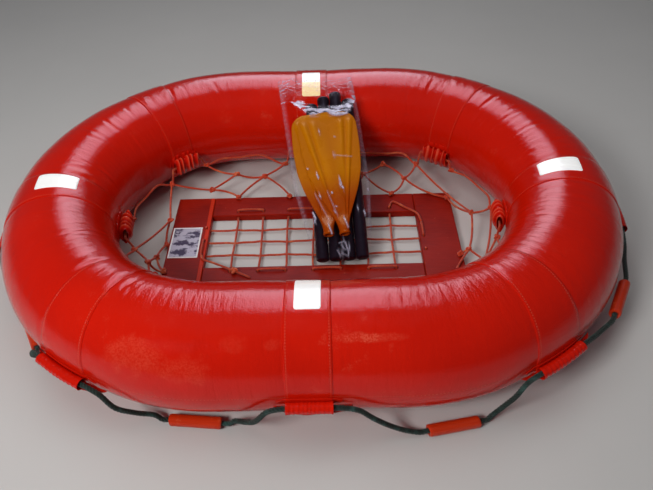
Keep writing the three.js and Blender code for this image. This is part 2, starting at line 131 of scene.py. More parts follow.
def mesh_piece(name, points, faces, lay, fields, material, smooth):
    """A mesh from points and a list of face arrays, each of them [faces, corners]. lay is a list of
    arrays like faces, with two numbers a corner; fields are numbers a point, by name."""
    mesh = bpy.data.meshes.new(name)
    mesh.vertices.add(len(points))
    mesh.vertices.foreach_set("co", np.asarray(points, np.float32).ravel())
    corners = np.concatenate([f.ravel() for f in faces]).astype(np.int32)
    sizes = np.concatenate([np.full(len(f), f.shape[1]) for f in faces])
    mesh.loops.add(len(corners))
    mesh.loops.foreach_set("vertex_index", corners)
    mesh.polygons.add(len(sizes))
    mesh.polygons.foreach_set("loop_start", np.concatenate([[0], np.cumsum(sizes)[:-1]]).astype(np.int32))
    mesh.polygons.foreach_set("use_smooth", np.full(len(sizes), smooth))
    layer = mesh.uv_layers.new(name="lay")
    layer.data.foreach_set("uv", np.concatenate([u.ravel() for u in lay]).astype(np.float32))
    for field, values in fields.items():
        attribute = mesh.attributes.new(field, "FLOAT", "POINT")
        attribute.data.foreach_set("value", values.astype(np.float32))
    mesh.update(calc_edges=True)
    mesh.materials.append(material)
    return linked(name, mesh)


def volume(points, faces):
    """Signed volume inside closed faces, from the tetrahedra that each face's fan makes with the origin."""
    total = 0
    for f in faces:
        for k in range(1, f.shape[1] - 1):
            a, b, c = points[f[:, 0]], points[f[:, k]], points[f[:, k + 1]]
            total += np.einsum("ij,ij->", a, np.cross(b, c)) / 6
    return total


class Shell:
    """A closed surface on a grid of points [rows, columns, 3]. Its columns always close; its rows
    close too, as on a ring, or end in flat caps. lay holds the two numbers for each point that a
    pattern follows, with one more row or column where the grid closes. fields are numbers by name,
    spread over the points."""

    def __init__(self, grid, rows_close=False, lay=None, fields=None):
        rows, columns = grid.shape[:2]
        self.points = grid.reshape(-1, 3)
        self.fields = {k: np.broadcast_to(v, (rows, columns)).ravel() for k, v in (fields or {}).items()}
        r = np.arange(rows if rows_close else rows - 1)[:, None]
        c = np.arange(columns)[None, :]
        corners = [(r, c), (r, c + 1), (r + 1, c + 1), (r + 1, c)]
        self.faces = [np.stack([(i % rows) * columns + j % columns for i, j in corners], -1).reshape(-1, 4)]
        if lay is None:
            v, u = np.meshgrid(np.arange(columns + 1), np.arange(rows + 1))
            lay = np.stack([u, v], -1)
        self.lay = [np.stack([lay[i, j] for i, j in corners], -2).reshape(-1, 4, 2)]
        if not rows_close:
            for row, order in ((0, -1), (rows - 1, 1)):
                self.faces.append(row * columns + np.arange(columns)[None, ::order])
                self.lay.append(np.zeros((1, columns, 2)) + lay[row, 0])
        if volume(self.points, self.faces) < 0:
            self.faces = [f[:, ::-1] for f in self.faces]
            self.lay = [u[:, ::-1] for u in self.lay]


def joined_field(name, shells):
    """One field over all the shells, 0 on a shell that lacks it."""
    return np.concatenate([s.fields.get(name, np.zeros(len(s.points))) for s in shells])


def piece_of(name, shells, material, smooth=True):
    """One object out of one or more shells. Its fields are the first shell's."""
    starts = np.cumsum([0, *[len(s.points) for s in shells]])
    return mesh_piece(
        name,
        np.concatenate([s.points for s in shells]),
        [f + start for s, start in zip(shells, starts) for f in s.faces],
        [u for s in shells for u in s.lay],
        {field: joined_field(field, shells) for field in shells[0].fields},
        material,
        smooth,
    )


def grid_lay(u, v):
    """The lay of a grid from the numbers of its rows and of its columns."""
    return np.stack(np.meshgrid(u, v, indexing="ij"), -1)


# The ring's geometry

def centreline(along):
    """Middle of the tube and the outward direction there: the turns' centres slide along the
    straights, and the direction turns by the length spent on the turns."""
    s = np.mod(along, PERIMETER)
    h, turn = HALF_STRAIGHT, math.pi * TURN
    angle = (np.clip(s - h, 0, turn) + np.clip(s - 3 * h - turn, 0, turn)) / TURN - math.pi / 2
    middle = np.clip(s, 0, h) - np.clip(s - h - turn, 0, 2 * h) + np.clip(s - 3 * h - 2 * turn, 0, h)
    return middle, np.cos(angle), np.sin(angle)


def off_ring(along, outward, height):
    """A place by distance along the ring, distance outward from its centreline, and height."""
    middle, x, y = centreline(along)
    out = TURN + np.asarray(outward, float)
    return np.stack(np.broadcast_arrays(middle + out * x, out * y, np.asarray(height, float)), -1)


def on_tube(along, angle, radius):
    """A place by distance along the ring and by angle and radius round its tube."""
    return off_ring(along, radius * np.cos(angle), CENTRE_Z + radius * np.sin(angle))


def ring_offset(along, place):
    """How far along the ring from a place, the shorter way round and with a sign."""
    return np.mod(along - place + PERIMETER / 2, PERIMETER) - PERIMETER / 2


def from_band(along):
    """Distance along the ring from the middle of the nearest band."""
    return np.min([np.abs(ring_offset(along, station)) for station in STATIONS.values()], 0)


# Paths and ropes

FINE_STEPS = 40
STRANDS = 3
KNOT_POINTS = 44


def distances(path):
    """Distance along the path to each of its points."""
    return np.concatenate([[0], np.cumsum(np.linalg.norm(np.diff(path, axis=0), axis=1))])


def length_of(path):
    """Length of the whole path."""
    return float(np.linalg.norm(np.diff(path, axis=0), axis=1).sum())


def even_path(points, spacing):
    """The same line with evenly spaced points."""
    d = distances(points)
    at = np.linspace(0, d[-1], max(3, round(d[-1] / spacing) + 1))
    return np.stack([np.interp(at, d, points[:, k]) for k in range(3)], 1)


def smooth_path(places, spacing):
    """A line through the places whose turns follow the square root of their distances (centripetal
    Catmull-Rom), with a point every spacing or so."""
    p = np.asarray(places, float)
    p = np.concatenate([[2 * p[0] - p[1]], p, [2 * p[-1] - p[-2]]])
    step = np.linalg.norm(np.diff(p, axis=0), axis=1)[:, None] ** 0.5
    a, b, c = step[:-2], step[1:-1], step[2:]
    slope = np.diff(p, axis=0)
    across_start = (p[2:-1] - p[:-3]) / (a + b)
    across_end = (p[3:] - p[1:-2]) / (b + c)
    start = (slope[:-2] / a - across_start + slope[1:-1] / b) * b
    end = (slope[1:-1] / b - across_end + slope[2:] / c) * b
    t = np.linspace(0, 1, FINE_STEPS, endpoint=False)[None, :, None]
    h = [2 * t**3 - 3 * t**2 + 1, t**3 - 2 * t**2 + t, -2 * t**3 + 3 * t**2, t**3 - t**2]
    fine = h[0] * p[1:-2, None] + h[1] * start[:, None] + h[2] * p[2:-1, None] + h[3] * end[:, None]
    return even_path(np.concatenate([fine.reshape(-1, 3), p[-2:-1]]), spacing)


def frames(path):
    """The path's direction at each point and two directions across it that turn as little as they can."""
    ahead = np.gradient(path, axis=0)
    ahead /= np.linalg.norm(ahead, axis=1)[:, None]
    side = np.zeros_like(path)
    first = np.cross(ahead[0], [0, 0, 1] if abs(ahead[0][2]) < 0.9 else [1, 0, 0])
    side[0] = first / np.linalg.norm(first)
    for i in range(1, len(path)):
        kept = side[i - 1] - ahead[i] * (side[i - 1] @ ahead[i])
        side[i] = kept / np.linalg.norm(kept)
    return ahead, side, np.cross(ahead, side)


def tube(path, radius, sides, twist=0, section=1):
    """A round surface along a path. radius is one number or one a point; section scales it round the
    tube, one number a side; twist turns the section by that much over a metre. The lay is the
    distance and the way round, both in metres."""
    _, side, other = frames(path)
    d = distances(path)
    turned = full_turn(sides)[None, :] + twist * d[:, None]
    radius = np.broadcast_to(radius, len(path))[:, None]
    scaled = radius * section
    grid = path[:, None] + (scaled * np.cos(turned))[..., None] * side[:, None]
    grid += (scaled * np.sin(turned))[..., None] * other[:, None]
    lay = grid_lay(np.append(d, d[-1]), np.linspace(0, 2 * math.pi, sides + 1) * float(radius.max()))
    return Shell(grid, lay=lay)


def laid_rope(path, rope):
    """Three strands laid round each other: the radius dips between strands, by the rope's groove at
    most, and the section turns once in a lay's length."""
    strands = 1 - rope["groove"] * (1 - np.abs(np.cos(STRANDS * full_turn(rope["sides"]) / 2))) ** 1.5
    return tube(path, rope["diameter"] / 2, rope["sides"], 2 * math.pi / rope["lay"], strands)


def turned_flat(angle):
    """The matrix of a turn about z."""
    c, s = math.cos(angle), math.sin(angle)
    return np.array([[c, -s, 0], [s, c, 0], [0, 0, 1]])


def trefoil(middle, size, seed):
    """A tight overhand knot, drawn as a trefoil of rope turned a different way each time."""
    t = full_turn(KNOT_POINTS)
    x, y, z = np.sin(t) + 2 * np.sin(2 * t), np.cos(t) - 2 * np.cos(2 * t), -1.3 * np.sin(3 * t)
    a, b = np.random.default_rng(seed).uniform(0, 2 * math.pi, 2)
    tip = np.array([[1, 0, 0], [0, math.cos(a), -math.sin(a)], [0, math.sin(a), math.cos(a)]])
    return middle + np.stack([x, y, z], 1) / 3 @ (tip @ turned_flat(b)).T * size


def closed_rope(path, diameter):
    """A round rope whose path closes on itself: the directions across it come from three rounds of
    the path, so that they settle."""
    n, sides = len(path), 8
    _, side, other = frames(np.concatenate([path, path, path]))
    side, other = side[n:2 * n], other[n:2 * n]
    angle = full_turn(sides)[None, :, None]
    grid = path[:, None] + diameter / 2 * (np.cos(angle) * side[:, None] + np.sin(angle) * other[:, None])
    d = np.linspace(0, length_of(path), n + 1)
    return Shell(grid, rows_close=True, lay=grid_lay(d, np.linspace(0, math.pi * diameter, sides + 1)))


# Materials

class Value:
    """A shader socket that can be added, subtracted and multiplied; each sign adds its Math node."""

    def __init__(self, paint, socket):
        self.paint, self.socket = paint, socket

    def math(self, operation, *others):
        """The Math node of that name on this socket and perhaps others."""
        return self.paint.node("Math", dict(enumerate([self, *others])), operation=operation)

    def __add__(self, other):
        return self.math("ADD", other)

    def __sub__(self, other):
        return self.math("SUBTRACT", other)

    def __mul__(self, other):
        return self.math("MULTIPLY", other)

    def __rsub__(self, other):
        return self * -1 + other

    def __abs__(self):
        return self.math("ABSOLUTE")

    __radd__, __rmul__ = __add__, __mul__


class Paint:
    """A material in the making. Fixed numbers are set on its shader, and node() adds everything else."""

    def __init__(self, name, **fixed):
        self.material = bpy.data.materials.new(name)
        self.material.use_nodes = True
        self.tree = self.material.node_tree
        self.shader = self.tree.nodes["Principled BSDF"]
        self.give(fixed)

    def give(self, sockets, node=None):
        """Fixed numbers, colours or links for a node's sockets, or for the shader's."""
        node = node or self.shader
        for key, value in sockets.items():
            socket = node.inputs[key.replace("_", " ") if isinstance(key, str) else key]
            if isinstance(value, Value):
                self.tree.links.new(value.socket, socket)
            elif len(np.shape(value)) and len(value) == 3 and socket.type == "RGBA":
                socket.default_value = (*value, 1)
            else:
                socket.default_value = value

    def node(self, kind, sockets=None, output=0, **settings):
        """Any node, by the end of its type's name: its settings are made first, then its sockets."""
        node = self.tree.nodes.new("ShaderNode" + kind)
        for key, value in settings.items():
            setattr(node, key, value)
        self.give(sockets or {}, node)
        return Value(self, node.outputs[output])

    def place(self):
        """Places in the piece's own frame."""
        return self.node("TexCoord", output="Object")

    def lay(self):
        """The two numbers that follow the surface."""
        return self.node("UVMap", uv_map="lay")

    def parts(self, vector):
        """The three numbers of a vector."""
        split = self.node("SeparateXYZ", {0: vector})
        return [Value(self, split.socket.node.outputs[k]) for k in range(3)]

    def field(self, name):
        """One of the mesh's own fields."""
        return self.node("Attribute", attribute_name=name, output="Fac")

    def stretched(self, vector, factors):
        """A vector times three factors, to draw a pattern out."""
        return self.node("VectorMath", {0: vector, 1: factors}, operation="MULTIPLY")

    def noise(self, vector, scale, detail=2.0, roughness=0.5):
        """Cloudy noise round a half, so many clouds a metre."""
        sockets = {"Vector": vector, "Scale": scale, "Detail": detail, "Roughness": roughness}
        return self.node("TexNoise", sockets)

    def between(self, value, low, high, to_low=0.0, to_high=1.0):
        """A smooth turn from to_low to to_high as value goes from low to high."""
        sockets = {"Value": value, "From Min": low, "From Max": high, "To Min": to_low, "To Max": to_high}
        return self.node("MapRange", sockets, interpolation_type="SMOOTHSTEP")

    def mix(self, factor, first, second):
        """The first colour where the factor is 0 and the second where it is 1."""
        return self.node("Mix", {0: factor, 6: first, 7: second}, output=2, data_type="RGBA")

    def bump(self, *heights):
        """Bumps in metres on each other; each is a height and how far it stands out."""
        normal = None
        for height, distance in heights:
            sockets = {"Height": height, "Distance": distance, "Strength": 1.0}
            if normal is not None:
                sockets["Normal"] = normal
            normal = self.node("Bump", sockets)
        self.give({"Normal": normal})


RED = (0.68, 0.0105, 0.0016)
# a deep red for random darker tone, and for painted shade in the gathers' grooves
DEEP_RED = (0.46, 0.004, 0.0008)
# a pale red for wear and stitches, and for painted highlight and sheen
WEAR_AND_SHEEN_RED = (0.80, 0.10, 0.05)
# A stitch with its gap, half the thread's width, and how far a yarn runs along the rope in one turn
STITCH = 0.0055
THREAD_HALF = 0.0006
YARN_LAY = 0.011


def painted_canvas(name, stitches=(), marks=(), gathered=False):
    """Cloth under thick glossy paint: orange peel and fine crosswise wrinkles, paler where it is
    worn. stitches are (which number of the lay, its value, which number the row runs along); marks
    are patches of painted highlight, pale speckles as (middle u, reach along it, middle v, reach along
    it, how strong) in the lay, with ragged edges. On gathered cloth painted sheen makes the ridges pale,
    and painted shade makes the grooves between them deep red."""
    paint = Paint(name, Specular_IOR_Level=0.42, Specular_Tint=(1.0, 0.66, 0.72))
    place, lay = paint.place(), paint.lay()
    parts = paint.parts(lay)
    broad = paint.noise(place, 5.0, 3.0)
    patchy = paint.noise(place, 28.0, 4.0, 0.6)
    grain = paint.noise(place, 420.0, 3.0, 0.55)
    pebble = paint.noise(place, 210.0, 2.0)
    cross = paint.noise(paint.stretched(lay, (260.0, 38.0, 1.0)), 1.0, 3.0, 0.6)
    crinkle = paint.noise(paint.stretched(lay, (60.0, 16.0, 1.0)), 1.0, 3.0, 0.55)
    wear_and_shine = paint.between(patchy * 0.7 + grain * 0.3, 0.56, 0.68) * paint.between(broad, 0.48, 0.62) * 0.28
    # each patch is a painted highlight: pale speckles added on top of the wear
    for u, u_reach, v, v_reach, strength in marks:
        aside, above = (parts[0] - u) * (1 / u_reach), (parts[1] - v) * (1 / v_reach)
        inside = paint.between(aside * aside + above * above + patchy * 4.5, 2.4, 3.6, 1.0, 0.0)
        wear_and_shine = wear_and_shine + inside * paint.between(pebble * 0.5 + grain * 0.5, 0.42, 0.58, 0.3, 1.0) * strength
    tone = paint.mix(paint.between(broad, 0.3, 0.7, 0.7, 1.0), DEEP_RED, RED)
    tone = paint.mix(wear_and_shine, tone, WEAR_AND_SHEEN_RED)
    heights = [(pebble, 0.00028), (grain, 0.00012), (cross, 0.00028), (crinkle, 0.0015)]
    for number, row, run in stitches:
        near = paint.between(abs(parts[number] - row), THREAD_HALF, 0.0014, 1.0, 0.0)
        dash = paint.between((parts[run] * (2 * math.pi / STITCH)).math("SINE"), -0.25, 0.1)
        tone = paint.mix(near * dash * 0.55, tone, WEAR_AND_SHEEN_RED)
        heights.append((near * dash - near * 0.6, 0.0006))
    if gathered:
        # painted shade in the grooves between gathers, and painted sheen on their ridges
        tone = paint.mix(paint.field("groove") * 0.75, tone, DEEP_RED)
        fold_painted_light = paint.field("ridge") * paint.between(grain, 0.35, 0.6, 0.5, 0.85)
        tone = paint.mix(fold_painted_light, tone, WEAR_AND_SHEEN_RED)
    gloss = paint.between(patchy, 0.25, 0.75, 0.09, 0.16)
    paint.give({"Base Color": tone, "Roughness": gloss + wear_and_shine * 0.4})
    paint.bump(*heights)
    return paint.material


def rope_yarn(name, colour, shadow, highlight, yarn):
    """Rope: fine yarns that run along each strand, with painted shade between them and painted highlight
    where they stand out, patches of painted highlight, and stray fibres.
    """
    paint = Paint(name, Sheen_Weight=0.25, Sheen_Roughness=0.5)
    lay = paint.lay()
    along, around, _ = paint.parts(lay)
    fibre = paint.noise(paint.stretched(lay, (500.0, 1600.0, 1.0)), 1.0, 3.0, 0.6)
    yarns = (around * (2 * math.pi / yarn) + along * (2 * math.pi / YARN_LAY)).math("SINE") * 0.5 + 0.5
    highlight_patches = paint.noise(paint.place(), 45.0, 3.0)
    # painted shade between the yarns and painted highlight along them
    tone = paint.mix(paint.between(yarns * 0.6 + fibre * 0.5, 0.35, 0.85), shadow, colour)
    # patches of painted highlight
    tone = paint.mix(paint.between(highlight_patches + fibre * 0.4, 0.72, 0.9) * 0.6, tone, highlight)
    paint.give({"Base Color": tone, "Roughness": paint.between(fibre, 0.3, 0.7, 0.52, 0.74)})
    paint.bump((yarns, 0.00025), (fibre, 0.00035))
    return paint.material


def sleeve_foam():
    """Extruded foam sleeve: smooth and slightly waxy, with faint lines along it and small nicks."""
    paint = Paint("sleeve_foam", Specular_IOR_Level=0.45)
    lay = paint.lay()
    drawn = paint.noise(paint.stretched(lay, (9.0, 900.0, 1.0)), 1.0, 2.0)
    cells = paint.noise(paint.place(), 900.0, 2.0)
    scuffs = paint.between(paint.noise(paint.place(), 70.0, 4.0, 0.65), 0.58, 0.72)
    tone = paint.mix(paint.between(drawn, 0.3, 0.7), (0.54, 0.026, 0.004), (0.66, 0.045, 0.006))
    tone = paint.mix(scuffs * 0.35, tone, (0.82, 0.22, 0.1))
    paint.give({"Base Color": tone, "Roughness": scuffs * 0.2 + 0.36})
    paint.bump((drawn, 0.0003), (cells, 0.00012), (scuffs, 0.0003))
    return paint.material


# Where a strip of painted highlight lies on the left end board: its x, its half width, and where it has faded
EDGE_HIGHLIGHT = {"x": -0.2785, "half": 0.0050, "fades": 0.0058}


def painted_board():
    """Brushed-on gloss paint over plywood, in a red darkened as painted shade: long soft brush marks, the
    grain just showing through, small chips that are paler, and a strip of painted highlight along the
    inner edge of the left end board."""
    paint = Paint("painted_board", Specular_IOR_Level=0.1, Specular_Tint=(1.0, 0.7, 0.7))
    place = paint.place()
    strokes = paint.noise(paint.stretched(place, (18.0, 420.0, 60.0)), 1.0, 3.0, 0.6)
    grain = paint.noise(paint.stretched(place, (30.0, 240.0, 240.0)), 1.0, 4.0, 0.6)
    broad = paint.noise(place, 9.0, 3.0)
    chips = paint.between(paint.noise(place, 130.0, 4.0, 0.7), 0.66, 0.72) * paint.between(broad, 0.45, 0.6)
    mottle = paint.between(broad * 0.6 + grain * 0.4, 0.35, 0.65)
    # the red is darkened as painted shade, for the shade that falls inside the ring
    tone = paint.mix(mottle, (0.23, 0.007, 0.0026), (0.33, 0.012, 0.004))
    x = paint.parts(place)[0]
    # the strip of painted highlight along the left end board's inner edge
    edge = paint.between(abs(x - EDGE_HIGHLIGHT["x"]), EDGE_HIGHLIGHT["half"], EDGE_HIGHLIGHT["fades"], 1.0, 0.0)
    tone = paint.mix(edge * 0.55, tone, (0.86, 0.05, 0.014))
    tone = paint.mix(chips * 0.5, tone, (0.7, 0.2, 0.1))
    paint.give({"Base Color": tone, "Roughness": paint.between(strokes, 0.3, 0.7, 0.34, 0.5) + chips * 0.2})
    paint.bump((strokes, 0.00022), (grain, 0.00025), (chips * -1, 0.0003), (edge, 0.0005))
    return paint.material


def reflective_tape():
    """White reflective tape that glows a little, as painted light: a fine net of cells under a smooth clear
    face, greyer in places, and yellowed where its aged field says so."""
    # the emission is painted light, so that the tape shines bright white
    paint = Paint("reflective_tape", Coat_Weight=0.5, Coat_Roughness=0.08, Emission_Strength=0.45)
    cells = paint.node("TexVoronoi", {"Vector": paint.lay(), "Scale": 420.0}, feature="DISTANCE_TO_EDGE")
    ridge = paint.between(cells, 0.02, 0.1)
    smear = paint.noise(paint.place(), 60.0, 4.0, 0.6)
    tone = paint.mix(ridge, (0.62, 0.63, 0.66), (0.95, 0.95, 0.93))
    tone = paint.mix(paint.between(smear, 0.58, 0.75) * 0.35, tone, (0.66, 0.6, 0.55))
    tone = paint.mix(paint.field("aged") * 0.8, tone, (0.92, 0.62, 0.22))
    paint.give({"Base Color": tone, "Emission Color": tone})
    paint.give({"Roughness": paint.between(smear, 0.3, 0.7, 0.22, 0.4)})
    paint.bump((ridge, 0.00008), (paint.noise(paint.place(), 35.0, 2.0), 0.0004))
    return paint.material


# Middle of the name plate and the reach of the bare metal inside its rim, x and y
PLATE_MIDDLE = (-0.330, -0.006)
PLATE_INNER = (0.0338, 0.0518)
RIM_EDGE = 0.0008


def brushed_plate():
    """Dull metal plate with a white rim: brushed across, grey, and dark in soft blotches."""
    paint = Paint("brushed_plate", Specular_IOR_Level=0.12)
    place = paint.place()
    x, y, _ = paint.parts(place)
    brushed = paint.noise(paint.stretched(place, (30.0, 2400.0, 30.0)), 1.0, 3.0, 0.7)
    blotch_noise = paint.noise(paint.stretched(place, (34.0, 60.0, 1.0)), 1.0, 5.0, 0.65)
    dark_blotches = paint.between(blotch_noise, 0.47, 0.56)
    rim = paint.between(abs(x - PLATE_MIDDLE[0]), PLATE_INNER[0], PLATE_INNER[0] + RIM_EDGE)
    rim = rim + paint.between(abs(y - PLATE_MIDDLE[1]), PLATE_INNER[1], PLATE_INNER[1] + RIM_EDGE) * (1 - rim)
    tone = paint.mix(dark_blotches, (0.43, 0.42, 0.50), (0.055, 0.045, 0.085))
    tone = paint.mix(rim, tone, (0.92, 0.92, 0.94))
    paint.give({"Base Color": tone, "Roughness": brushed * 0.25 + 0.25, "Metallic": rim * -0.2 + 0.2})
    paint.bump((brushed, 0.00005), (rim, 0.0003))
    return paint.material


def moulded_plastic(name, colour, deep, low, tint, roughness):
    """Moulded plastic with a faint grain and hair scratches. Its fields say where painted shade makes it
    deeper in colour, in a groove, and where it turns to the low end's colour."""
    paint = Paint(name, Specular_IOR_Level=0.35, Specular_Tint=tint)
    place = paint.place()
    cloud = paint.noise(place, 16.0, 2.0)
    grain = paint.noise(place, 900.0, 2.0)
    hairs = paint.noise(paint.stretched(place, (170.0, 24.0, 170.0)), 1.0, 4.0, 0.7)
    scratches = paint.between(hairs, 0.64, 0.72)
    # painted shade in the grooves, and a random cloudy tone
    tone = paint.mix(paint.field("groove") * 0.75 + paint.between(cloud, 0.35, 0.65) * 0.15, colour, deep)
    tone = paint.mix(paint.field("low"), tone, low)
    sheen = paint.between(cloud, 0.3, 0.7, roughness - 0.05, roughness + 0.05)
    paint.give({"Base Color": tone, "Roughness": scratches * 0.15 + sheen})
    paint.bump((grain, 0.00005), (scratches * -1, 0.00005))
    return paint.material


# A seam runs along the tube a little above its outward side, and one near each side of a band
TUBE_SEAM = 0.0044
BAND_SEAM = BAND_WIDTH / 2 - 0.0045
SHINE_PATCHES = [
    # painted highlights on the front of the ring: middle and reach along it, middle and reach round the tube,
    # strength
    (3.053, 0.050, 0.0815, 0.038, 0.34),
    (3.135, 0.042, 0.0725, 0.026, 0.26),
    (3.210, 0.028, 0.117, 0.014, 0.14),
    (3.281, 0.018, 0.113, 0.011, 0.16),
    (0.078, 0.052, 0.124, 0.010, 0.42),
    (0.138, 0.060, 0.123, 0.008, 0.28),
]
CANVAS = painted_canvas("painted_canvas", [(1, TUBE_SEAM, 0)], SHINE_PATCHES)
BAND_CANVAS = painted_canvas("band_canvas", [(0, -BAND_SEAM, 1), (0, BAND_SEAM, 1)])
BECKET_CANVAS = painted_canvas("becket_canvas", gathered=True)
LINE_YARN = rope_yarn(
    "lifeline_yarn", (0.018, 0.052, 0.040), (0.003, 0.007, 0.006), (0.05, 0.16, 0.14), yarn=0.0011,
)
NET_YARN = rope_yarn("net_yarn", (0.86, 0.095, 0.014), (0.52, 0.022, 0.004), (0.92, 0.24, 0.08), yarn=0.0009)
SLEEVE = sleeve_foam()
BOARD = painted_board()
TAPE = reflective_tape()
PLATE_METAL = brushed_plate()
BLADE_PLASTIC = moulded_plastic(
    "blade_plastic", (0.58, 0.190, 0.0008), (0.48, 0.130, 0.0006), (0.36, 0.050, 0.0008),
    tint=(1.0, 0.7, 0.2), roughness=0.3,
)
SHAFT_PLASTIC = moulded_plastic(
    "shaft_plastic", (0.011, 0.006, 0.011), (0.006, 0.003, 0.007), (0.011, 0.006, 0.011),
    tint=(0.8, 0.75, 1.0), roughness=0.36,
)


# Lifeline: a bight of laid rope from each outer becket to the next, with a sleeve float on it

ROPE = 0.011
LINE_ROPE = {"diameter": ROPE, "lay": 0.021, "sides": 18, "groove": 0.3}
ROPE_STEP = 0.0016
IN_TUNNEL = (0.020, 0.004)  # places on the rope, from a becket's mouth inwards
FLOAT = {"length": 0.104, "diameter": 0.025, "bore": 0.0124}
FLOAT_REST = FLOAT["diameter"] / 2
FLOAT_PLACES = {
    # name: share of the way from becket to becket, outward, height
    "front": (0.628, 0.130, FLOAT_REST),
    "front_right": (0.5, 0.146, 0.088),
    "right": (0.5, 0.120, FLOAT_REST),
    "back_right": (0.5, 0.120, FLOAT_REST),
    "back": (0.5, 0.120, FLOAT_REST),
    "back_left": (0.5, 0.120, FLOAT_REST),
    "left": (0.5, 0.120, FLOAT_REST),
    "front_left": (0.471, 0.102, FLOAT_REST),
}
OUTER_BECKET = {"angle": math.radians(-4), "tunnel": 0.0115, "half": 0.042}
INNER_BECKET = {"angle": math.radians(190), "tunnel": 0.014, "half": 0.058}


def becket_rope(becket):
    """Outward and up from the ring's centreline to the rope in a becket's tunnel."""
    radius = BAND_FACE + GAP + becket["tunnel"]
    return radius * math.cos(becket["angle"]), CENTRE_Z + radius * math.sin(becket["angle"])


def slack_of(outward, height):
    """Places on the rope between a becket and its float: share of the way, outward, height."""
    if height > FLOAT_REST:
        return [(0.3, 0.141, 0.108), (0.55, 0.143, 0.096)]
    return [
        (0.26, 0.139, 0.108),
        (0.44, 0.140, 0.078),
        (0.62, (outward + 0.139) / 2, 0.042),
        (0.8, outward + 0.004, 0.022),
    ]


def bight(name):
    """The rope's route from one becket to the next, and its float's middle and direction."""
    start = STATIONS[name] + OUTER_BECKET["half"]
    end = NEXT[name] - OUTER_BECKET["half"]
    share, outward, height = FLOAT_PLACES[name]
    at = start + share * (end - start)
    middle = off_ring(at, outward, height)
    way = off_ring(at + 0.001, outward, height) - off_ring(at - 0.001, outward, height)
    way /= np.linalg.norm(way)
    half = FLOAT["length"] / 2
    in_float = [middle + way * d for d in (-half - 0.016, -half - 0.002, 0, half + 0.002, half + 0.016)]
    short = half * TURN / (TURN + outward)
    slack = slack_of(outward, height)
    tunnel_out, tunnel_height = becket_rope(OUTER_BECKET)
    route = [
        *[off_ring(start - d, tunnel_out, tunnel_height) for d in IN_TUNNEL],
        *[off_ring(start + d * (at - short - start), out, z) for d, out, z in slack],
        *in_float,
        *[off_ring(end - d * (end - at - short), out, z) for d, out, z in reversed(slack)],
        *[off_ring(end + d, tunnel_out, tunnel_height) for d in reversed(IN_TUNNEL)],
    ]
    return smooth_path(route, ROPE_STEP), middle, way


def sleeve(name, middle, way, seed):
    """A thick tube cut square by hand: the wall turns round its soft ends, and the section is a
    little out of round."""
    half, outer, bore = FLOAT["length"] / 2, FLOAT["diameter"] / 2, FLOAT["bore"] / 2
    rim = [
        # back from the end, radius
        (0.0001, bore), (0, bore + 0.002), (0, outer - 0.0025), (0.0008, outer - 0.0008), (0.0028, outer),
    ]
    profile = np.array([
        *[(-half + back, radius) for back, radius in rim],
        *[(x, outer) for x in np.linspace(-half + 0.008, half - 0.008, 14)],
        *[(half - back, radius) for back, radius in reversed(rim)],
        *[(x, bore) for x in np.linspace(half - 0.01, -half + 0.01, 6)],
    ])
    sides = 36
    angle = full_turn(sides)[None, :]
    x, r = profile[:, :1], profile[:, 1:]
    random = np.random.default_rng(seed)
    phase = random.uniform(0, 2 * math.pi, 4)
    uneven = 0.020 * np.cos(2 * angle + phase[0]) + 0.012 * np.cos(3 * angle + phase[1] + 30 * x)
    lean = 0.0016 * (np.abs(x) > half - 0.009) * np.cos(angle + phase[2] * np.sign(x))
    r = np.where(r > bore + 0.001, r * (1 + uneven), r)
    side = np.cross(way, [0, 0, 1])
    side /= np.linalg.norm(side)
    up = np.cross(side, way)
    grid = middle + (x + lean)[..., None] * way
    grid = grid + (r * np.cos(angle))[..., None] * side + (r * np.sin(angle))[..., None] * up
    lay = grid_lay(np.append(profile[:, 0], profile[0, 0]), np.linspace(0, 2 * math.pi * outer, sides + 1))
    return piece_of(name, [Shell(grid, rows_close=True, lay=lay)], SLEEVE)


for i, name in enumerate(STATIONS):
    path, middle, way = bight(name)
    rope = piece_of(f"laid_line_{name}", [laid_rope(path, LINE_ROPE)], LINE_YARN)
    float_sleeve = sleeve(f"sleeve_{name}", middle, way, i)
    for piece, node, slot in (
        (rope, f"lifeline_{name}", "lifeline_rope"),
        (float_sleeve, f"line_float_{name}", "float_foam"),
    ):
        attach(piece, "float_ring")
        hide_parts(node)
    length_of(path)


# Canvas cover: it swells between the bands and gathers into creases on the inner side of the turns

STRONG_CREASES = [
    # along, middle angle in degrees, half length in degrees, depth: where the photograph shows them
    (0.990, 106, 24, 0.0024), (1.060, 107, 20, 0.0019), (1.146, 103, 27, 0.0030), (1.215, 106, 20, 0.0022),
    (1.270, 105, 23, 0.0026), (1.330, 108, 18, 0.0018), (1.943, 104, 14, 0.0015), (2.072, 104, 21, 0.0024),
    (2.136, 100, 16, 0.0018), (2.208, 103, 17, 0.0019), (2.282, 104, 22, 0.0022), (2.350, 106, 19, 0.0017),
    (2.870, 103, 24, 0.0030), (2.960, 106, 22, 0.0026), (2.987, 105, 21, 0.0026),
]
FAINT_CREASES = 96


def crease_lines():
    """The strong creases, and many faint ones that crowd at the ring's two ends. Each has a place, a
    middle angle, a half length, a depth, a lean along the ring and a width."""
    random = np.random.default_rng(8)
    faint = []
    while len(faint) < FAINT_CREASES:
        along = random.uniform(0, PERIMETER)
        _, x, _ = centreline(along)
        if random.uniform() < 0.18 + 0.82 * float(x) ** 2:
            middle, half = random.uniform(92, 165), random.uniform(12, 34)
            faint.append((along, middle, half, random.uniform(0.0003, 0.0014)))
    lines = np.array([*STRONG_CREASES, *faint])
    lean = random.uniform(-0.010, 0.010, len(lines))
    width = random.uniform(0.0032, 0.0062, len(lines))
    return np.column_stack([lines, lean, width])


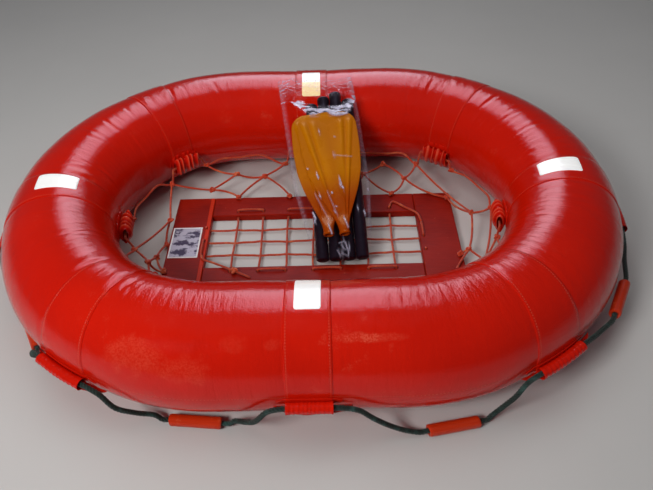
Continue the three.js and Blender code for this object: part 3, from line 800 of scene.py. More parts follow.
CREASES = crease_lines()
WAVES = [
    # how many times round the ring, how many times round the tube
    (3, 1), (5, -1), (7, 2), (9, 0), (11, -2), (14, 1), (17, 3), (22, -1), (26, 2), (31, -3),
]
WAVE_STARTS = np.random.default_rng(3).uniform(0, 2 * math.pi, len(WAVES))
BAND_EDGE = BAND_WIDTH / 2 + 0.002
# Unevenness, the swell and how far from a band it is full, the dip beside a band and its reach
COVER = {"uneven": 0.00028, "swell": 0.0018, "swelled_at": 0.13, "dip": 0.0007, "dip_reach": 0.006}


def cover(along, angle):
    """Radius of the cover: the tube, slow unevenness from sines round the ring and the tube, a swell
    between the bands, a dip beside each band, and the creases, each a bell-shaped groove between two
    soft ridges."""
    along, angle = np.broadcast_arrays(np.asarray(along, float), np.asarray(angle, float))
    turn = 2 * math.pi * along / PERIMETER
    uneven = sum(
        np.sin(n * turn + m * angle + start) / (1 + 0.2 * n)
        for (n, m), start in zip(WAVES, WAVE_STARTS)
    )
    gap = from_band(along)
    swollen = smoothstep(BAND_EDGE, COVER["swelled_at"], gap)
    radius = TUBE + COVER["uneven"] * uneven + COVER["swell"] * swollen
    radius = radius - COVER["dip"] * np.exp(-((gap - BAND_EDGE) / COVER["dip_reach"]) ** 2)
    degrees = np.degrees(angle)
    for place, middle, half, depth, lean, width in CREASES:
        off = ring_offset(along, place) - lean * (degrees - middle) / half
        fade = smoothstep(1, 0.35, np.abs(degrees - middle) / half)
        ridges, groove = np.exp(-((off / (2.7 * width)) ** 2)), np.exp(-((off / width) ** 2))
        radius = radius + depth * fade * (0.42 * ridges - groove)
    return radius


def grounded(points, floor):
    """The same points with none below the floor."""
    points[..., 2] = np.maximum(points[..., 2], floor)
    return points


def ring_cover():
    """The whole cover, from rows round the tube all along the ring."""
    rows, columns = 776, 126
    along = np.linspace(0, PERIMETER, rows, endpoint=False)[:, None]
    angle = full_turn(columns)[None, :]
    grid = grounded(on_tube(along, angle, cover(along, angle)), floor=0.0006)
    lay = grid_lay(np.linspace(0, PERIMETER, rows + 1), np.linspace(0, 2 * math.pi * TUBE, columns + 1))
    return Shell(grid, rows_close=True, lay=lay)


ring = piece_of("canvas_cover", [ring_cover()], CANVAS)
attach(ring, "float_ring")
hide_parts("buoyant_ring")


# Wrap bands: a strip sewn round the tube at each station, rolled down at its edges

BAND_LIFT = 0.0014


def outer_face(along, angle):
    """Radius of whatever covers the tube there: the band or the cover."""
    band = smoothstep(BAND_WIDTH / 2, BAND_WIDTH / 2 - 0.002, from_band(along))
    return cover(along, angle) + BAND_LIFT * band


def band_section():
    """A band's outline across it, as shares of half its width and of BAND_LIFT: flat on top, rolled
    down at both edges and sunk into the cover underneath."""
    left_edge = [(-1.0, -0.1), (-0.995, 0.55), (-0.97, 0.95), (-0.93, 1.0)]
    right_edge = [(-share, lift) for share, lift in reversed(left_edge)]
    flat = [(share, 1.0) for share in (-0.8, -0.6, -0.4, -0.2, 0, 0.2, 0.4, 0.6, 0.8)]
    return np.array([*left_edge, *flat, *right_edge, (0.97, -0.8), (0, -0.8), (-0.97, -0.8)])


def band_strip(station):
    """The band's section carried once round the tube."""
    sides, section = 160, band_section()
    off, lift = section[None, :, 0] * BAND_WIDTH / 2, section[None, :, 1] * BAND_LIFT
    around = full_turn(sides)[:, None]
    grid = grounded(on_tube(station + off, around, cover(station + off, around) + lift), floor=0.0002)
    over = np.linspace(0, 2 * math.pi * TUBE, sides + 1)
    lay = np.stack(np.meshgrid(np.append(off, off[0, 0]), over), -1)
    return Shell(grid, rows_close=True, lay=lay)


for name, station in STATIONS.items():
    band = piece_of(f"sewn_band_{name}", [band_strip(station)], BAND_CANVAS)
    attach(band, "float_ring")
    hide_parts(f"wrap_band_{name}")


# Reflective patches on top

PATCHES = {
    # name: along, low angle, high angle in degrees
    "front": (0, 82, 127),
    "right": (0.815, 80, 123),
    "back": (PERIMETER / 2, 82, 125),
    "left": (2.541, 77, 119),
}
PATCH = {"width": 0.050, "corner": 0.005, "thick": 0.0007}
AGED_FROM = (math.radians(103), math.radians(105))


def plate_on_tube(station, offs, low, high, thick, columns):
    """A thin piece that lies on the tube: each row runs over its top from the low angle to the high
    one and back underneath. offs, low and high are one number a row."""
    t = np.linspace(0, 1, columns)[None, :]
    there = low[:, None] + (high - low)[:, None] * t
    at = station + offs[:, None] + 0 * there
    base = outer_face(at, there) + 0.0003
    edge = np.minimum(1, 8 * np.minimum(t, 1 - t) + 0.35)
    grid = np.concatenate([on_tube(at, there, base + thick * edge), on_tube(at, there, base)[:, ::-1]], 1)
    over = there * TUBE
    lay = np.concatenate([over, over[:, ::-1], over[:, :1]], 1)
    return Shell(grid, lay=np.stack([np.broadcast_to(offs[:, None], lay.shape), lay], -1))


def rounded_inset(from_corner, radius):
    """How far a round corner cuts an edge back: a quarter circle, from how far past its start a place
    lies. Before the start it is 0."""
    return radius - np.sqrt(np.maximum(radius**2 - np.maximum(from_corner, 0) ** 2, 0))


def tape_patch(station, low, high, is_aged):
    """A strip of tape over the crest with round corners, perhaps yellowed along one edge."""
    half, corner, columns = PATCH["width"] / 2, PATCH["corner"], 40
    offs = np.linspace(-half, half, 34)
    inset = rounded_inset(np.abs(offs) - half + corner, corner)
    start, end = math.radians(low) + inset / TUBE, math.radians(high) - inset / TUBE
    shell = plate_on_tube(station, offs, start, end, PATCH["thick"], columns)
    aged = smoothstep(*AGED_FROM, np.linspace(start, end, columns, axis=1)) * is_aged
    shell.fields = {"aged": np.concatenate([aged, aged[:, ::-1]], 1).ravel()}
    return shell


for name, (station, low, high) in PATCHES.items():
    patch = piece_of(f"tape_{name}", [tape_patch(station, low, high, name == "back")], TAPE)
    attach(patch, "float_ring")
    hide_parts(f"reflective_patch_{name}")


# Beckets: a gathered sleeve of canvas on each band that a rope runs through, on a strip sewn down
# along the tube

# How deep the gathers are and how far apart, how they lean, how tall the sleeve is beside its depth,
# the strip's two edges, what the mouths widen by, what the ends are short by, how flat the mouths are
# squeezed, how much of the gathers is left next to the band, and whether the gathers get painted sheen and
# shade
OUTER_LOOK = {
    "gather": 0.0006, "pitch": 0.0078, "lean": 0.0004, "tall": 0.94, "strip": (-0.014, 0.0125),
    "mouth": 0.0008, "short": -0.002, "squeeze": 0.0, "top_fold": 0.35, "fold_painted_light": 0.0,
}
INNER_LOOK = {
    "gather": 0.0034, "pitch": 0.0225, "lean": 0.0030, "tall": 1.7, "strip": (-0.028, 0.029),
    "mouth": 0.0002, "short": 0.005, "squeeze": 0.5, "top_fold": 0.65, "fold_painted_light": 1.0,
}
STRIP_HALF = 0.062
FLAP = {"half": 0.074, "reach": 0.0172, "outward": 0.1262, "height": 0.1062, "off": 0.006}
CLOTH = 0.0013


def folds(t, pitch, seed):
    """Uneven gathers: a sine whose pitch drifts, with sharper valleys than ridges."""
    phase = seed * 1.7
    wave = np.sin(2 * math.pi * t / pitch + 0.9 * np.sin(2 * math.pi * t / 0.047 + phase) + phase)
    return 1 - 1.6 * np.abs(np.sin(0.5 * np.arcsin(np.clip(wave, -1, 1)) - math.pi / 4)) ** 1.3


def becket_sleeve(station, becket, look, seed):
    """A soft tube beside the band: out along its skin and back inside, with folds across it that are
    deepest where it stands furthest off the band and die out at its mouths, which are squeezed flat."""
    half, sides = becket["half"] - look["short"], 36
    outside = np.linspace(-half, half, 92)
    inside = outside[::-1][::3]
    t = np.concatenate([outside, inside])[:, None]
    skin = np.concatenate([np.ones(len(outside)), np.zeros(len(inside))])[:, None]
    around = full_turn(sides)[None, :]
    free = 0.5 + 0.5 * np.cos(around)
    near_mouth = smoothstep(half - 0.012, half, np.abs(t))
    pattern = folds(t + look["lean"] * np.sin(2 * around + seed), look["pitch"], seed)
    fold = pattern * look["gather"] * (look["top_fold"] + (1 - look["top_fold"]) * free)
    radius = becket["tunnel"] - 0.0002 + fold * (1 - 0.6 * near_mouth) + look["mouth"] * near_mouth
    radius = radius - CLOTH * (1 - skin)
    centre = BAND_FACE + GAP + becket["tunnel"]
    tilt = becket["angle"]
    over = centre + radius * (1 - look["squeeze"] * near_mouth) * np.cos(around)
    beside = look["tall"] * radius * np.sin(around)
    outward = over * math.cos(tilt) - beside * math.sin(tilt)
    height = CENTRE_Z + over * math.sin(tilt) + beside * math.cos(tilt)
    over_skin = np.linspace(0, 2 * math.pi * becket["tunnel"], sides + 1)
    lay = grid_lay(np.append(t[:, 0], t[0, 0]), over_skin)
    fields = {
        # ridge carries the painted sheen on the gathers' tops, groove the painted shade between them
        "ridge": smoothstep(0.15, 0.75, pattern) * skin * look["fold_painted_light"],
        "groove": smoothstep(0.1, -0.4, pattern) * skin * look["fold_painted_light"],
    }
    return Shell(off_ring(station + t, outward, height), rows_close=True, lay=lay, fields=fields)


def becket_strip(station, becket, look, seed):
    """The strip under the sleeve: flat on the tube, narrower towards its ends, puckered where the
    sleeve is gathered."""
    offs, columns = np.linspace(-STRIP_HALF, STRIP_HALF, 66), 12
    taper = np.sqrt(np.maximum(1 - np.maximum(np.abs(offs) / STRIP_HALF - 0.55, 0) / 0.47, 0.02))
    low, high = (becket["angle"] + side * taper / TUBE for side in look["strip"])
    shell = plate_on_tube(station, offs, low, high, CLOTH, columns)
    pucker = folds(offs, look["pitch"], seed) * look["gather"] * 0.4 * (np.abs(offs) < becket["half"])
    _, x, y = centreline(station + offs)
    out = np.stack([x, y, 0 * x], -1) * math.cos(becket["angle"])
    # The first half of each row is the upper side, and this view of it moves the shell's own points
    upper = shell.points.reshape(len(offs), 2 * columns, 3)[:, :columns]
    upper += (pucker[:, None] * out)[:, None]
    return shell


def becket_flap(station, seed):
    """The free edge of cloth under an outer sleeve: it stands out below the rope, runs to a point at
    each end and waves a little."""
    half, columns = FLAP["half"], 9
    offs = np.linspace(-half, half, 60)[:, None]
    reach = 0.0008 + FLAP["reach"] * np.maximum(1 - np.abs(offs / half) ** 2.4, 0) ** 0.7
    t = np.concatenate([np.linspace(0, 1, columns), np.linspace(1, 0, columns)])[None, :]
    face = np.repeat([1, -1], columns)[None, :]
    wave = 0.0011 * np.sin(offs / 0.0135 + 1.3 * seed) + 0.0007 * np.sin(offs / 0.0061 + seed)
    drop = (wave - 0.0028 * t + 0.0012 * np.sin(math.pi * t)) * t
    height = FLAP["height"] + drop + 0.0008 * face * (1 - 0.6 * t)
    return Shell(off_ring(station + FLAP["off"] + offs, FLAP["outward"] + reach * t, height))


for i, (name, station) in enumerate(STATIONS.items()):
    for side, becket, look in (("outer", OUTER_BECKET, OUTER_LOOK), ("inner", INNER_BECKET, INNER_LOOK)):
        shells = [becket_sleeve(station, becket, look, i), becket_strip(station, becket, look, i)]
        if side == "outer":
            shells.append(becket_flap(station, i))
        piece = piece_of(f"gathered_{side}_becket_{name}", shells, BECKET_CANVAS)
        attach(piece, "float_ring")
        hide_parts(f"{side}_becket_{name}")


# Platform: the boards' own solids, merged and with every edge rounded over under the paint

PLATFORM = {"half_length": 0.373, "half_depth": 0.172, "board": 0.100, "rail": 0.076, "thick": 0.020}
OPEN_X = PLATFORM["half_length"] - PLATFORM["board"]
OPEN_Y = PLATFORM["half_depth"] - PLATFORM["rail"]
LARGEST_ROUNDED_FACE = 4e-5
BOARD_ROUNDING = 0.0007
PLATE_ROUNDING = 0.0004


def rounded_copy(name, node, width, material):
    """A copy of a part's solid with its flat faces whole again and its edges rounded over."""
    shape = bmesh.new()
    shape.from_mesh(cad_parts[node].data)
    bmesh.ops.remove_doubles(shape, verts=shape.verts, dist=1e-6)
    bmesh.ops.dissolve_limit(shape, angle_limit=math.radians(1), verts=shape.verts, edges=shape.edges)
    edges = [e for e in shape.edges if e.is_manifold and e.calc_face_angle() > math.radians(20)]
    bmesh.ops.bevel(
        shape, geom=edges, offset=width, segments=2, profile=0.5, affect="EDGES", clamp_overlap=True,
    )
    for face in shape.faces:
        face.smooth = face.calc_area() < LARGEST_ROUNDED_FACE
    mesh = bpy.data.meshes.new(name)
    shape.to_mesh(mesh)
    shape.free()
    mesh.materials.append(material)
    return linked(name, mesh)


for node in ("end_board_left", "end_board_right", "platform_rail_front", "platform_rail_back"):
    board = rounded_copy(f"painted_{node}", node, BOARD_ROUNDING, BOARD)
    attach(board, "platform")
    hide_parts(node)


# Lacing: two ropes to and fro through the boards' holes, over and under each other where they cross

LACE_ROPE = {"diameter": 0.006, "lay": 0.014, "sides": 12, "groove": 0.26}
LACE = {"pitch": 0.068, "in_rail": 0.016, "in_board": 0.010, "turn": 0.0035, "sway": 0.0016}
CROSSING = {"rise": 0.0024, "reach": 0.013}
KNOT_ROPE = 0.0058
LENGTHWISE = [k * LACE["pitch"] for k in range(-3, 4)]
CROSSWISE = [0.048, 0, -0.048]
LACE_LOW = PLATFORM["thick"] / 2
LACE_TOP = PLATFORM["thick"] + LACE_ROPE["diameter"] / 2 + 0.0008


def crossing_wave(along, others, sign):
    """Height of a rope over the middle level: a bell up or down by turns at each rope it crosses."""
    return sum(
        sign * (-1) ** k * CROSSING["rise"] * np.exp(-(((along - other) / CROSSING["reach"]) ** 2))
        for k, other in enumerate(others)
    )


def lacing_route(lines, others, reach, point):
    """Up through a hole, over the wood and down the next, and across the opening between them. point
    turns place along the rope, place across and height into a place."""
    turn = LACE["turn"]
    route = []
    for i, line in enumerate(lines):
        start = -reach if i % 2 == 0 else reach
        across = np.linspace(start, -start, 90)
        sway = LACE["sway"] * np.sin(across / reach * 2.2 + i * 1.9)
        inside = smoothstep(0, 0.02, reach - 0.016 - np.abs(across))
        height = LACE_LOW + crossing_wave(across, others, (-1) ** i) * inside
        before = [(start, line, LACE_TOP), (start, line, LACE_TOP - turn), (start, line, LACE_LOW + turn)]
        after = [(-a, b, z) for a, b, z in reversed(before)]
        open_part = np.abs(across) < reach - turn
        span = np.column_stack([across, line + sway * inside, height])[open_part]
        route += [point(*place) for place in [*before, *span, *after]]
    return smooth_path(route, ROPE_STEP)


lengthwise = lacing_route(LENGTHWISE, CROSSWISE[::-1], OPEN_Y + LACE["in_rail"], lambda a, b, z: (b, a, z))
crosswise = lacing_route(CROSSWISE, LENGTHWISE, OPEN_X + LACE["in_board"], lambda a, b, z: (a, b, z))
LACE_TIES = [
    # the two laces' ends, tied across two corners of the opening
    [
        (0.204, 0.112, 0.0245), (0.215, 0.133, LACE_TOP), (0.246, 0.110, LACE_TOP), (0.276, 0.083, LACE_TOP),
        (0.283, 0.052, 0.0245),
    ],
    [
        (-0.283, -0.052, 0.0245), (-0.276, -0.070, LACE_TOP), (-0.251, -0.083, LACE_TOP),
        (-0.192, -0.116, 0.0262), (-0.153, -0.136, 0.0232),
    ],
]
TIE_KNOT = {"middle": np.array([-0.192, -0.117, 0.0285]), "size": 0.0068}
lace_paths = [lengthwise, crosswise, *[smooth_path(tie, ROPE_STEP) for tie in LACE_TIES]]
tie_knot = closed_rope(trefoil(TIE_KNOT["middle"], TIE_KNOT["size"], 3), KNOT_ROPE)
lacing = piece_of("laced_rope", [*[laid_rope(path, LACE_ROPE) for path in lace_paths], tie_knot], NET_YARN)
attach(lacing, "platform")
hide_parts("platform_lacing")


# Net: a head rope through the inner beckets, knots hung from it, and legs on to the platform's edges

NET_ROPE = {"diameter": 0.006, "lay": 0.014, "sides": 10, "groove": 0.26}
KNOT = {"half": 0.0065, "size": 0.0062}
LEG_STEP = 0.002
HITCHES = {
    # name: (before, after) the becket's middle, each along in millimetres from it, outward, height
    "front": ((-82, -141, 78), (82, -141, 78)),
    "front_right": ((-82, -141, 78), (82, -141, 74)),
    "right": ((-80, -141, 78), (88, -141, 76)),
    "back_right": ((-80, -141, 80), (78, -147, 64)),
    "back": ((-80, -141, 78), (80, -150, 62)),
    "back_left": ((-80, -141, 78), (84, -138, 62)),
    "left": ((-80, -141, 80), (78, -152, 70)),
    "front_left": ((-82, -141, 78), (82, -141, 78)),
}
KNOTS = {
    # name: along, outward, height, in millimetres
    "a1": (150, -184, 50), "a2": (285, -184, 50), "b1": (570, -178, 50), "b2": (645, -156, 42),
    "b3": (702, -200, 34), "c1": (915, -184, 56), "d1": (1354, -196, 45), "d2": (1466, -168, 66),
    "d3": (1530, -190, 50), "e1": (1808, -183, 45), "e2": (1911, -182, 56), "e3": (2056, -200, 34),
    "f1": (2388, -216, 45), "p10": (2517, -218.1, 14), "g1": (2642, -198, 34), "g2": (2706, -174, 60),
    "h1": (3060, -184, 50), "h2": (3190, -184, 50),
}
EDGE_KNOTS = {
    # name: x, y on top of the platform's edge, in millimetres
    "p1": (90, -165), "p2": (200, -165), "p3": (330, -165), "p4": (366, -75), "p5": (364, 142),
    "p6": (213, 165), "p7": (90, 165), "p8": (-66, 165), "p9": (-206, 165), "p11": (-366, -112),
    "p12": (-200, -165), "p13": (-90, -165),
}
LEGS = [
    # from, to, sag, sideways bow, in millimetres
    ("front+", "a1", 6, 4), ("a1", "a2", 8, 0), ("a2", "front_right-", 6, -4), ("a1", "p1", 4, 3),
    ("a1", "p2", 4, -3), ("a2", "p2", 5, 3), ("a2", "p3", 4, -4), ("front_right+", "b1", 7, 3),
    ("b1", "b2", 5, 0), ("b1", "p3", 4, -4), ("b2", "b3", 3, 2), ("b2", "right-", 6, 0), ("b3", "p4", 2, 2),
    ("b3", "p3", 6, 5), ("b2", "right+", 3, 6), ("right+", "c1", 5, 0), ("c1", "b3", 7, -5),
    ("c1", "back_right+", 10, 0), ("c1", "p5", 6, -6), ("back_right+", "d1", 6, -3), ("d1", "d2", 0, 6),
    ("d2", "d3", 4, 0), ("d1", "p6", 3, -7), ("d1", "p5", 7, 6), ("d3", "p6", 5, 4), ("d3", "p7", 4, -3),
    ("d3", "back-", 6, 0), ("back+", "e1", 5, 3), ("e1", "e2", 9, 0), ("e1", "p8", 3, -8), ("e1", "p9", 5, 9),
    ("e2", "e3", 3, 2), ("e2", "back_left-", 8, -2), ("e3", "p9", 0, -8), ("e3", "back_left+", 4, 0),
    ("back_left+", "f1", 6, 3), ("f1", "p10", 3, 5), ("f1", "left+", 4, -2), ("g1", "p10", 2, -5),
    ("g1", "p11", 3, 4), ("g1", "g2", 2, 3), ("left+", "g2", 6, -4), ("g2", "front_left-", 12, 0),
    ("g2", "p11", 5, 6), ("front_left+", "h1", 7, 3), ("h1", "h2", 8, 0), ("h2", "front-", 6, -3),
    ("h1", "p12", 4, -3), ("h1", "p13", 4, 4), ("h2", "p13", 5, -3),
]
IN_BECKET = [-0.002, 0.030, 0.058, 0.064]  # places on the head rope, outwards from a becket's middle
HEAD_DIP = [(0.33, 0.022), (0.5, 0.028), (0.67, 0.024)]  # share of the way between beckets, how far down


def net_places():
    """Every knot's middle, by name."""
    places = {}
    for name, station in STATIONS.items():
        for sign, (d, outward, height) in zip("-+", HITCHES[name]):
            places[name + sign] = off_ring(station + d / 1000, outward / 1000, height / 1000)
    places |= {k: off_ring(*(v / 1000 for v in place)) for k, place in KNOTS.items()}
    edge_z = PLATFORM["thick"] + GAP + KNOT["half"]
    return places | {k: np.array([x / 1000, y / 1000, edge_z]) for k, (x, y) in EDGE_KNOTS.items()}


def slack_leg(a, b, sag, bow):
    """A rope from knot to knot: the straight line, with a parabola down and another sideways."""
    t = np.linspace(0, 1, max(4, round(np.linalg.norm(b - a) / LEG_STEP)))[:, None]
    side = np.cross(b - a, [0, 0, 1])
    side /= np.linalg.norm(side)
    return a + (b - a) * t + 4 * t * (1 - t) * (side * bow / 1000 - np.array([0, 0, sag / 1000]))


def head_ropes(places):
    """The head rope's eight stretches: through a becket, to its knot, in a dip to the next knot and
    into the next becket."""
    out, height = becket_rope(INNER_BECKET)
    names = list(STATIONS)
    for name, after in zip(names, names[1:] + names[:1]):
        start, end = STATIONS[name], NEXT[name]
        way = end - start
        route = [
            *[off_ring(start + d, out, height) for d in IN_BECKET],
            places[name + "+"],
            *[off_ring(start + share * way, out + dip / 3, height - dip) for share, dip in HEAD_DIP],
            places[after + "-"],
            *[off_ring(end - d, out, height) for d in reversed(IN_BECKET)],
        ]
        yield smooth_path(route, LEG_STEP)


def build_net():
    """Head rope, legs and knots, joined in one piece."""
    places = net_places()
    paths = [*head_ropes(places), *[slack_leg(places[a], places[b], sag, bow) for a, b, sag, bow in LEGS]]
    ropes = [laid_rope(path, NET_ROPE) for path in paths]
    knots = [trefoil(place, KNOT["size"], i) for i, place in enumerate(places.values())]
    return piece_of("knotted_net", [*ropes, *[closed_rope(knot, KNOT_ROPE) for knot in knots]], NET_YARN)


net = build_net()
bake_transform(net)
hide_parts("platform_net")


# Name plate: bare metal with a pale rim

plate = rounded_copy("blank_plate", "name_plate", PLATE_ROUNDING, PLATE_METAL)
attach(plate, "platform")
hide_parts("name_plate")


# Paddle pack: in its own frame x runs across, y from the low end up to the ring's crest, and z up
# from the film

PACK = {"x": 0.058, "low_y": -0.100, "turn": 3.5}
SHAFT = {
    "radius": 0.016, "from": 0.008, "z": 0.0172, "soft": 0.004,
    "low_ring": 0.060, "ring_to_end": 0.022, "ring_depth": 0.0012,
}
SHAFTS = [
    # name, x, far end along the pack
    ("left", -0.0333, 0.446),
    ("left_inner", -0.0007, 0.467),
    ("right_inner", 0.0319, 0.480),
    ("right", 0.0645, 0.456),
]
THROAT = {"y": 0.062, "z": 0.046, "radius": 0.012, "bore": 0.0092}
BLADE = {
    "plate": 0.005, "rib": 0.0032, "dish": 0.0025, "end": 0.408, "corner": 0.040,
    "turns_flat": (0.07, 0.128),
}
# How many flutes there are on each side of the middle, and how wide each is at two places
FLUTES = {"a_side": 3, "low_y": 0.122, "low_width": 0.0065, "high_y": 0.376, "high_width": 0.0240}
BLADE_SIDE = np.array([
    # place along the pack, half width
    (66, 12), (88, 14), (112, 21), (146, 36), (188, 54), (235, 68), (290, 75), (330, 77),
]) / 1000
BLADES = [
    # name, x of its throat, degrees that it leans to the left, height of its plate
    ("lower", -0.015, -0.4, 0.0337), ("upper", 0.0245, 4.2, 0.0424),
]


def pack_frame():
    """The pack leans from the platform's front rail to the back patch on the ring's crest: its slope
    is the tangent's from the low end to the circle round the tube that the patch's face lies on."""
    patch = 0.0008
    crest = BAND_FACE + 2 * GAP + patch + 0.0002
    low_z = PLATFORM["thick"] + 0.0006
    over, up = TURN - PACK["low_y"], CENTRE_Z - low_z
    slope = math.asin(crest / math.hypot(over, up)) + math.atan2(up, over)
    turn = Matrix.Rotation(math.radians(PACK["turn"]), 4, "Z") @ Matrix.Rotation(slope, 4, "X")
    return np.array(Matrix.Translation((PACK["x"], PACK["low_y"], low_z)) @ turn)


PACK_FRAME = pack_frame()


def in_pack(points):
    """Places in the part's frame from places in the pack's."""
    return points @ PACK_FRAME[:3, :3].T + PACK_FRAME[:3, 3]


def rounded_square(angle, power):
    """Directions round a shape between a circle, power 2, and a square."""
    c, s = np.cos(angle), np.sin(angle)
    return np.sign(c) * np.abs(c) ** (2 / power), np.sign(s) * np.abs(s) ** (2 / power)


def averaged(x, table, reach, count):
    """The second column of a table, read at x in its first with straight lines between the rows, as
    the mean over a short reach on both sides, which rounds its corners."""
    near = np.linspace(-reach, reach, count)
    return np.mean([np.interp(x + d, table[:, 0], table[:, 1]) for d in near], 0)


def blade(x, lean, z):
    """A blade lofted from a round throat to a flat plate: the section is a rounded square that turns
    from circle to flat bar, and cosines across it make six flutes that fan out along it."""
    corner, end = BLADE["corner"], BLADE["end"]
    round_end = corner * np.sin(np.linspace(0, math.pi / 2, 14)[1:])
    y = np.concatenate([
        np.linspace(0.0625, 0.1, 24), np.linspace(0.103, end - corner, 78), end - corner + round_end,
    ])
    width = averaged(y, BLADE_SIDE, 0.014, 9) - rounded_inset(y - end + corner, corner)
    flat = smoothstep(*BLADE["turns_flat"], y)
    thick = THROAT["radius"] * (1 - flat) + BLADE["plate"] / 2 * flat
    level = THROAT["z"] * (1 - flat) + (z + BLADE["plate"] / 2) * flat
    collar = 1 + 0.13 * np.exp(-(((y - 0.066) / 0.0026) ** 2))
    bore = THROAT["bore"]
    socket = [(0.080, bore, bore, THROAT["z"], 0.0), (0.0626, bore, bore, THROAT["z"], 0.0)]
    rows = np.concatenate([socket, np.column_stack([y, width * collar, thick * collar, level, flat])])
    y, width, thick, level, flat = (rows[:, k:k + 1] for k in range(5))
    over = np.linspace(0, math.pi, 150, endpoint=False)
    under = np.linspace(math.pi, 2 * math.pi, 40, endpoint=False)
    c, s = rounded_square(np.concatenate([over, under])[None, :], 2 + 5 * flat)
    across = width * c
    fans_by = (FLUTES["high_width"] - FLUTES["low_width"]) / (FLUTES["high_y"] - FLUTES["low_y"])
    flute = np.maximum(FLUTES["low_width"] + fans_by * (y - FLUTES["low_y"]), 0.004)
    number = np.abs(across / flute)
    ridge = (0.5 - 0.5 * np.cos(2 * math.pi * number)) ** 0.8
    ridge = ridge * smoothstep(FLUTES["a_side"] + 0.05, FLUTES["a_side"] - 0.2, number)
    ridge = ridge * smoothstep(0.10, 0.135, y) * smoothstep(0.392, 0.368, y) * (s > 0) * flat
    height = level + thick * s + BLADE["rib"] * ridge - BLADE["dish"] * c**2 * flat
    grid = np.stack([across, y - THROAT["y"] + 0 * across, height], -1) @ turned_flat(math.radians(lean)).T
    fields = {
        # groove: painted shade between the flutes' ridges
        "groove": (1 - ridge) * smoothstep(0.09, 0.13, y) * smoothstep(0.41, 0.38, y),
        "low": smoothstep(0.24, 0.15, y),
    }
    return Shell(in_pack(grid + [x, THROAT["y"], 0]), fields=fields)


for name, x, lean, z in BLADES:
    piece = piece_of(f"fluted_blade_{name}", [blade(x, lean, z)], BLADE_PLASTIC)
    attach(piece, "float_ring")
    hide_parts(f"paddle_blade_{name}")


def half_shaft(x, end, rings):
    """A bar with softly rounded ends, and a low ring at each of the given places along the pack."""
    start, soft = SHAFT["from"], SHAFT["soft"]
    ends = np.linspace(0, soft, 8)
    y = np.concatenate([start + ends, np.linspace(start + 0.005, end - 0.005, 60), end - ends[::-1]])
    tip = np.minimum(y - start, end - y)
    size = SHAFT["radius"] - rounded_inset(soft - tip, soft)
    size = size - SHAFT["ring_depth"] * sum(smoothstep(0.0045, 0.0030, np.abs(y - ring)) for ring in rings)
    return tube(in_pack(np.column_stack([x + 0 * y, y, SHAFT["z"] + 0 * y])), size, 40)


for name, x, end in SHAFTS:
    rings = (SHAFT["low_ring"], end - SHAFT["ring_to_end"])
    piece = piece_of(f"half_shaft_{name}", [half_shaft(x, end, rings)], SHAFT_PLASTIC)
    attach(piece, "float_ring")
    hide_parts(f"paddle_shaft_{name}")


# Film bag: one skin of clear film round the paddles, crumpled where it bends down past the blades'
# ends, closed at the low end and open on the ring's crest

BAG = {
    "length": 0.540, "film": 0.0005, "clear": 0.0004, "side_rows": 226, "mouth": (0.452, 0.50),
    "flutter": 0.0060, "drawn_in": 0.011,
}
RUFFLE = {"everywhere": 0.00015, "crumpled": 0.0011, "mouth": 0.0011}
BAG_SIDES = np.array([
    # place along the pack, left side, right side
    (0, -54, 88), (200, -96, 101), (540, -122, 84),
]) / 1000
BAG_TOP = np.array([
    # place along the pack, height of the upper skin
    (0, 37), (30, 51), (54, 59.4), (88, 59.4), (140, 53.5), (404, 53), (424, 47), (450, 37), (484, 35),
    (520, 19), (540, 16),
]) / 1000
CRUMPLE = np.array([
    # x across, middle of the crumpled stretch, half its width
    (-88, 452, 1), (-80, 450, 7), (-62, 438, 15), (-40, 416, 15), (-22, 409, 8), (0, 414, 7), (30, 406, 15),
    (55, 412, 19), (74, 440, 14), (86, 462, 8),
]) / 1000
GLINTS = [
    # x, y where a fold that catches the light starts, x, y where it ends, in millimetres, how bright
    (-41, 170, -12, 98, 0.14), (-11, 178, 9, 112, 0.12), (24, 104, 33, 76, 0.4), (-51, 122, -44, 104, 0.7),
    (-44, 104, -50, 92, 0.5), (22, 212, 26, 194, 0.5), (27, 188, 30, 183, 1.0), (22, 194, 26, 192, 0.7),
    (12, 277, 58, 270, 0.26), (-57, 244, -54, 242, 0.6), (-34, 226, -30, 216, 0.6), (91, 178, 92, 175, 0.8),
    (2, 124, 6, 116, 0.5), (6, 136, 10, 134, 0.5), (12, 34, 22, 22, 0.3), (22, 40, 27, 24, 0.4),
    (2, 22, 10, 10, 0.3), (32, 30, 28, 12, 0.35), (8, 38, 20, 42, 0.35), (12, 16, 28, 8, 0.25),
    (74, 118, 78, 110, 0.5), (-30, 166, -29, 163, 1.0), (0, 174, 1, 171, 0.9), (18, 330, 21, 329, 0.4),
    (-20, 350, -19, 347, 0.4), (60, 130, 62, 122, 0.3), (-14, 84, -8, 62, 0.5),
]
GLINT_REACH = 0.0024


def glints_at(x, y):
    """How bright the brightest glint is here: each is a straight stroke that fades to 0 beside it."""
    best = np.zeros_like(x)
    for x0, y0, x1, y1, bright in GLINTS:
        start, way = np.array([x0, y0]) / 1000, np.array([x1 - x0, y1 - y0]) / 1000
        share = np.clip(((x - start[0]) * way[0] + (y - start[1]) * way[1]) / (way @ way), 0, 1)
        off = np.hypot(x - start[0] - share * way[0], y - start[1] - share * way[1])
        best = np.maximum(best, bright * smoothstep(GLINT_REACH, 0.2 * GLINT_REACH, off))
    return best


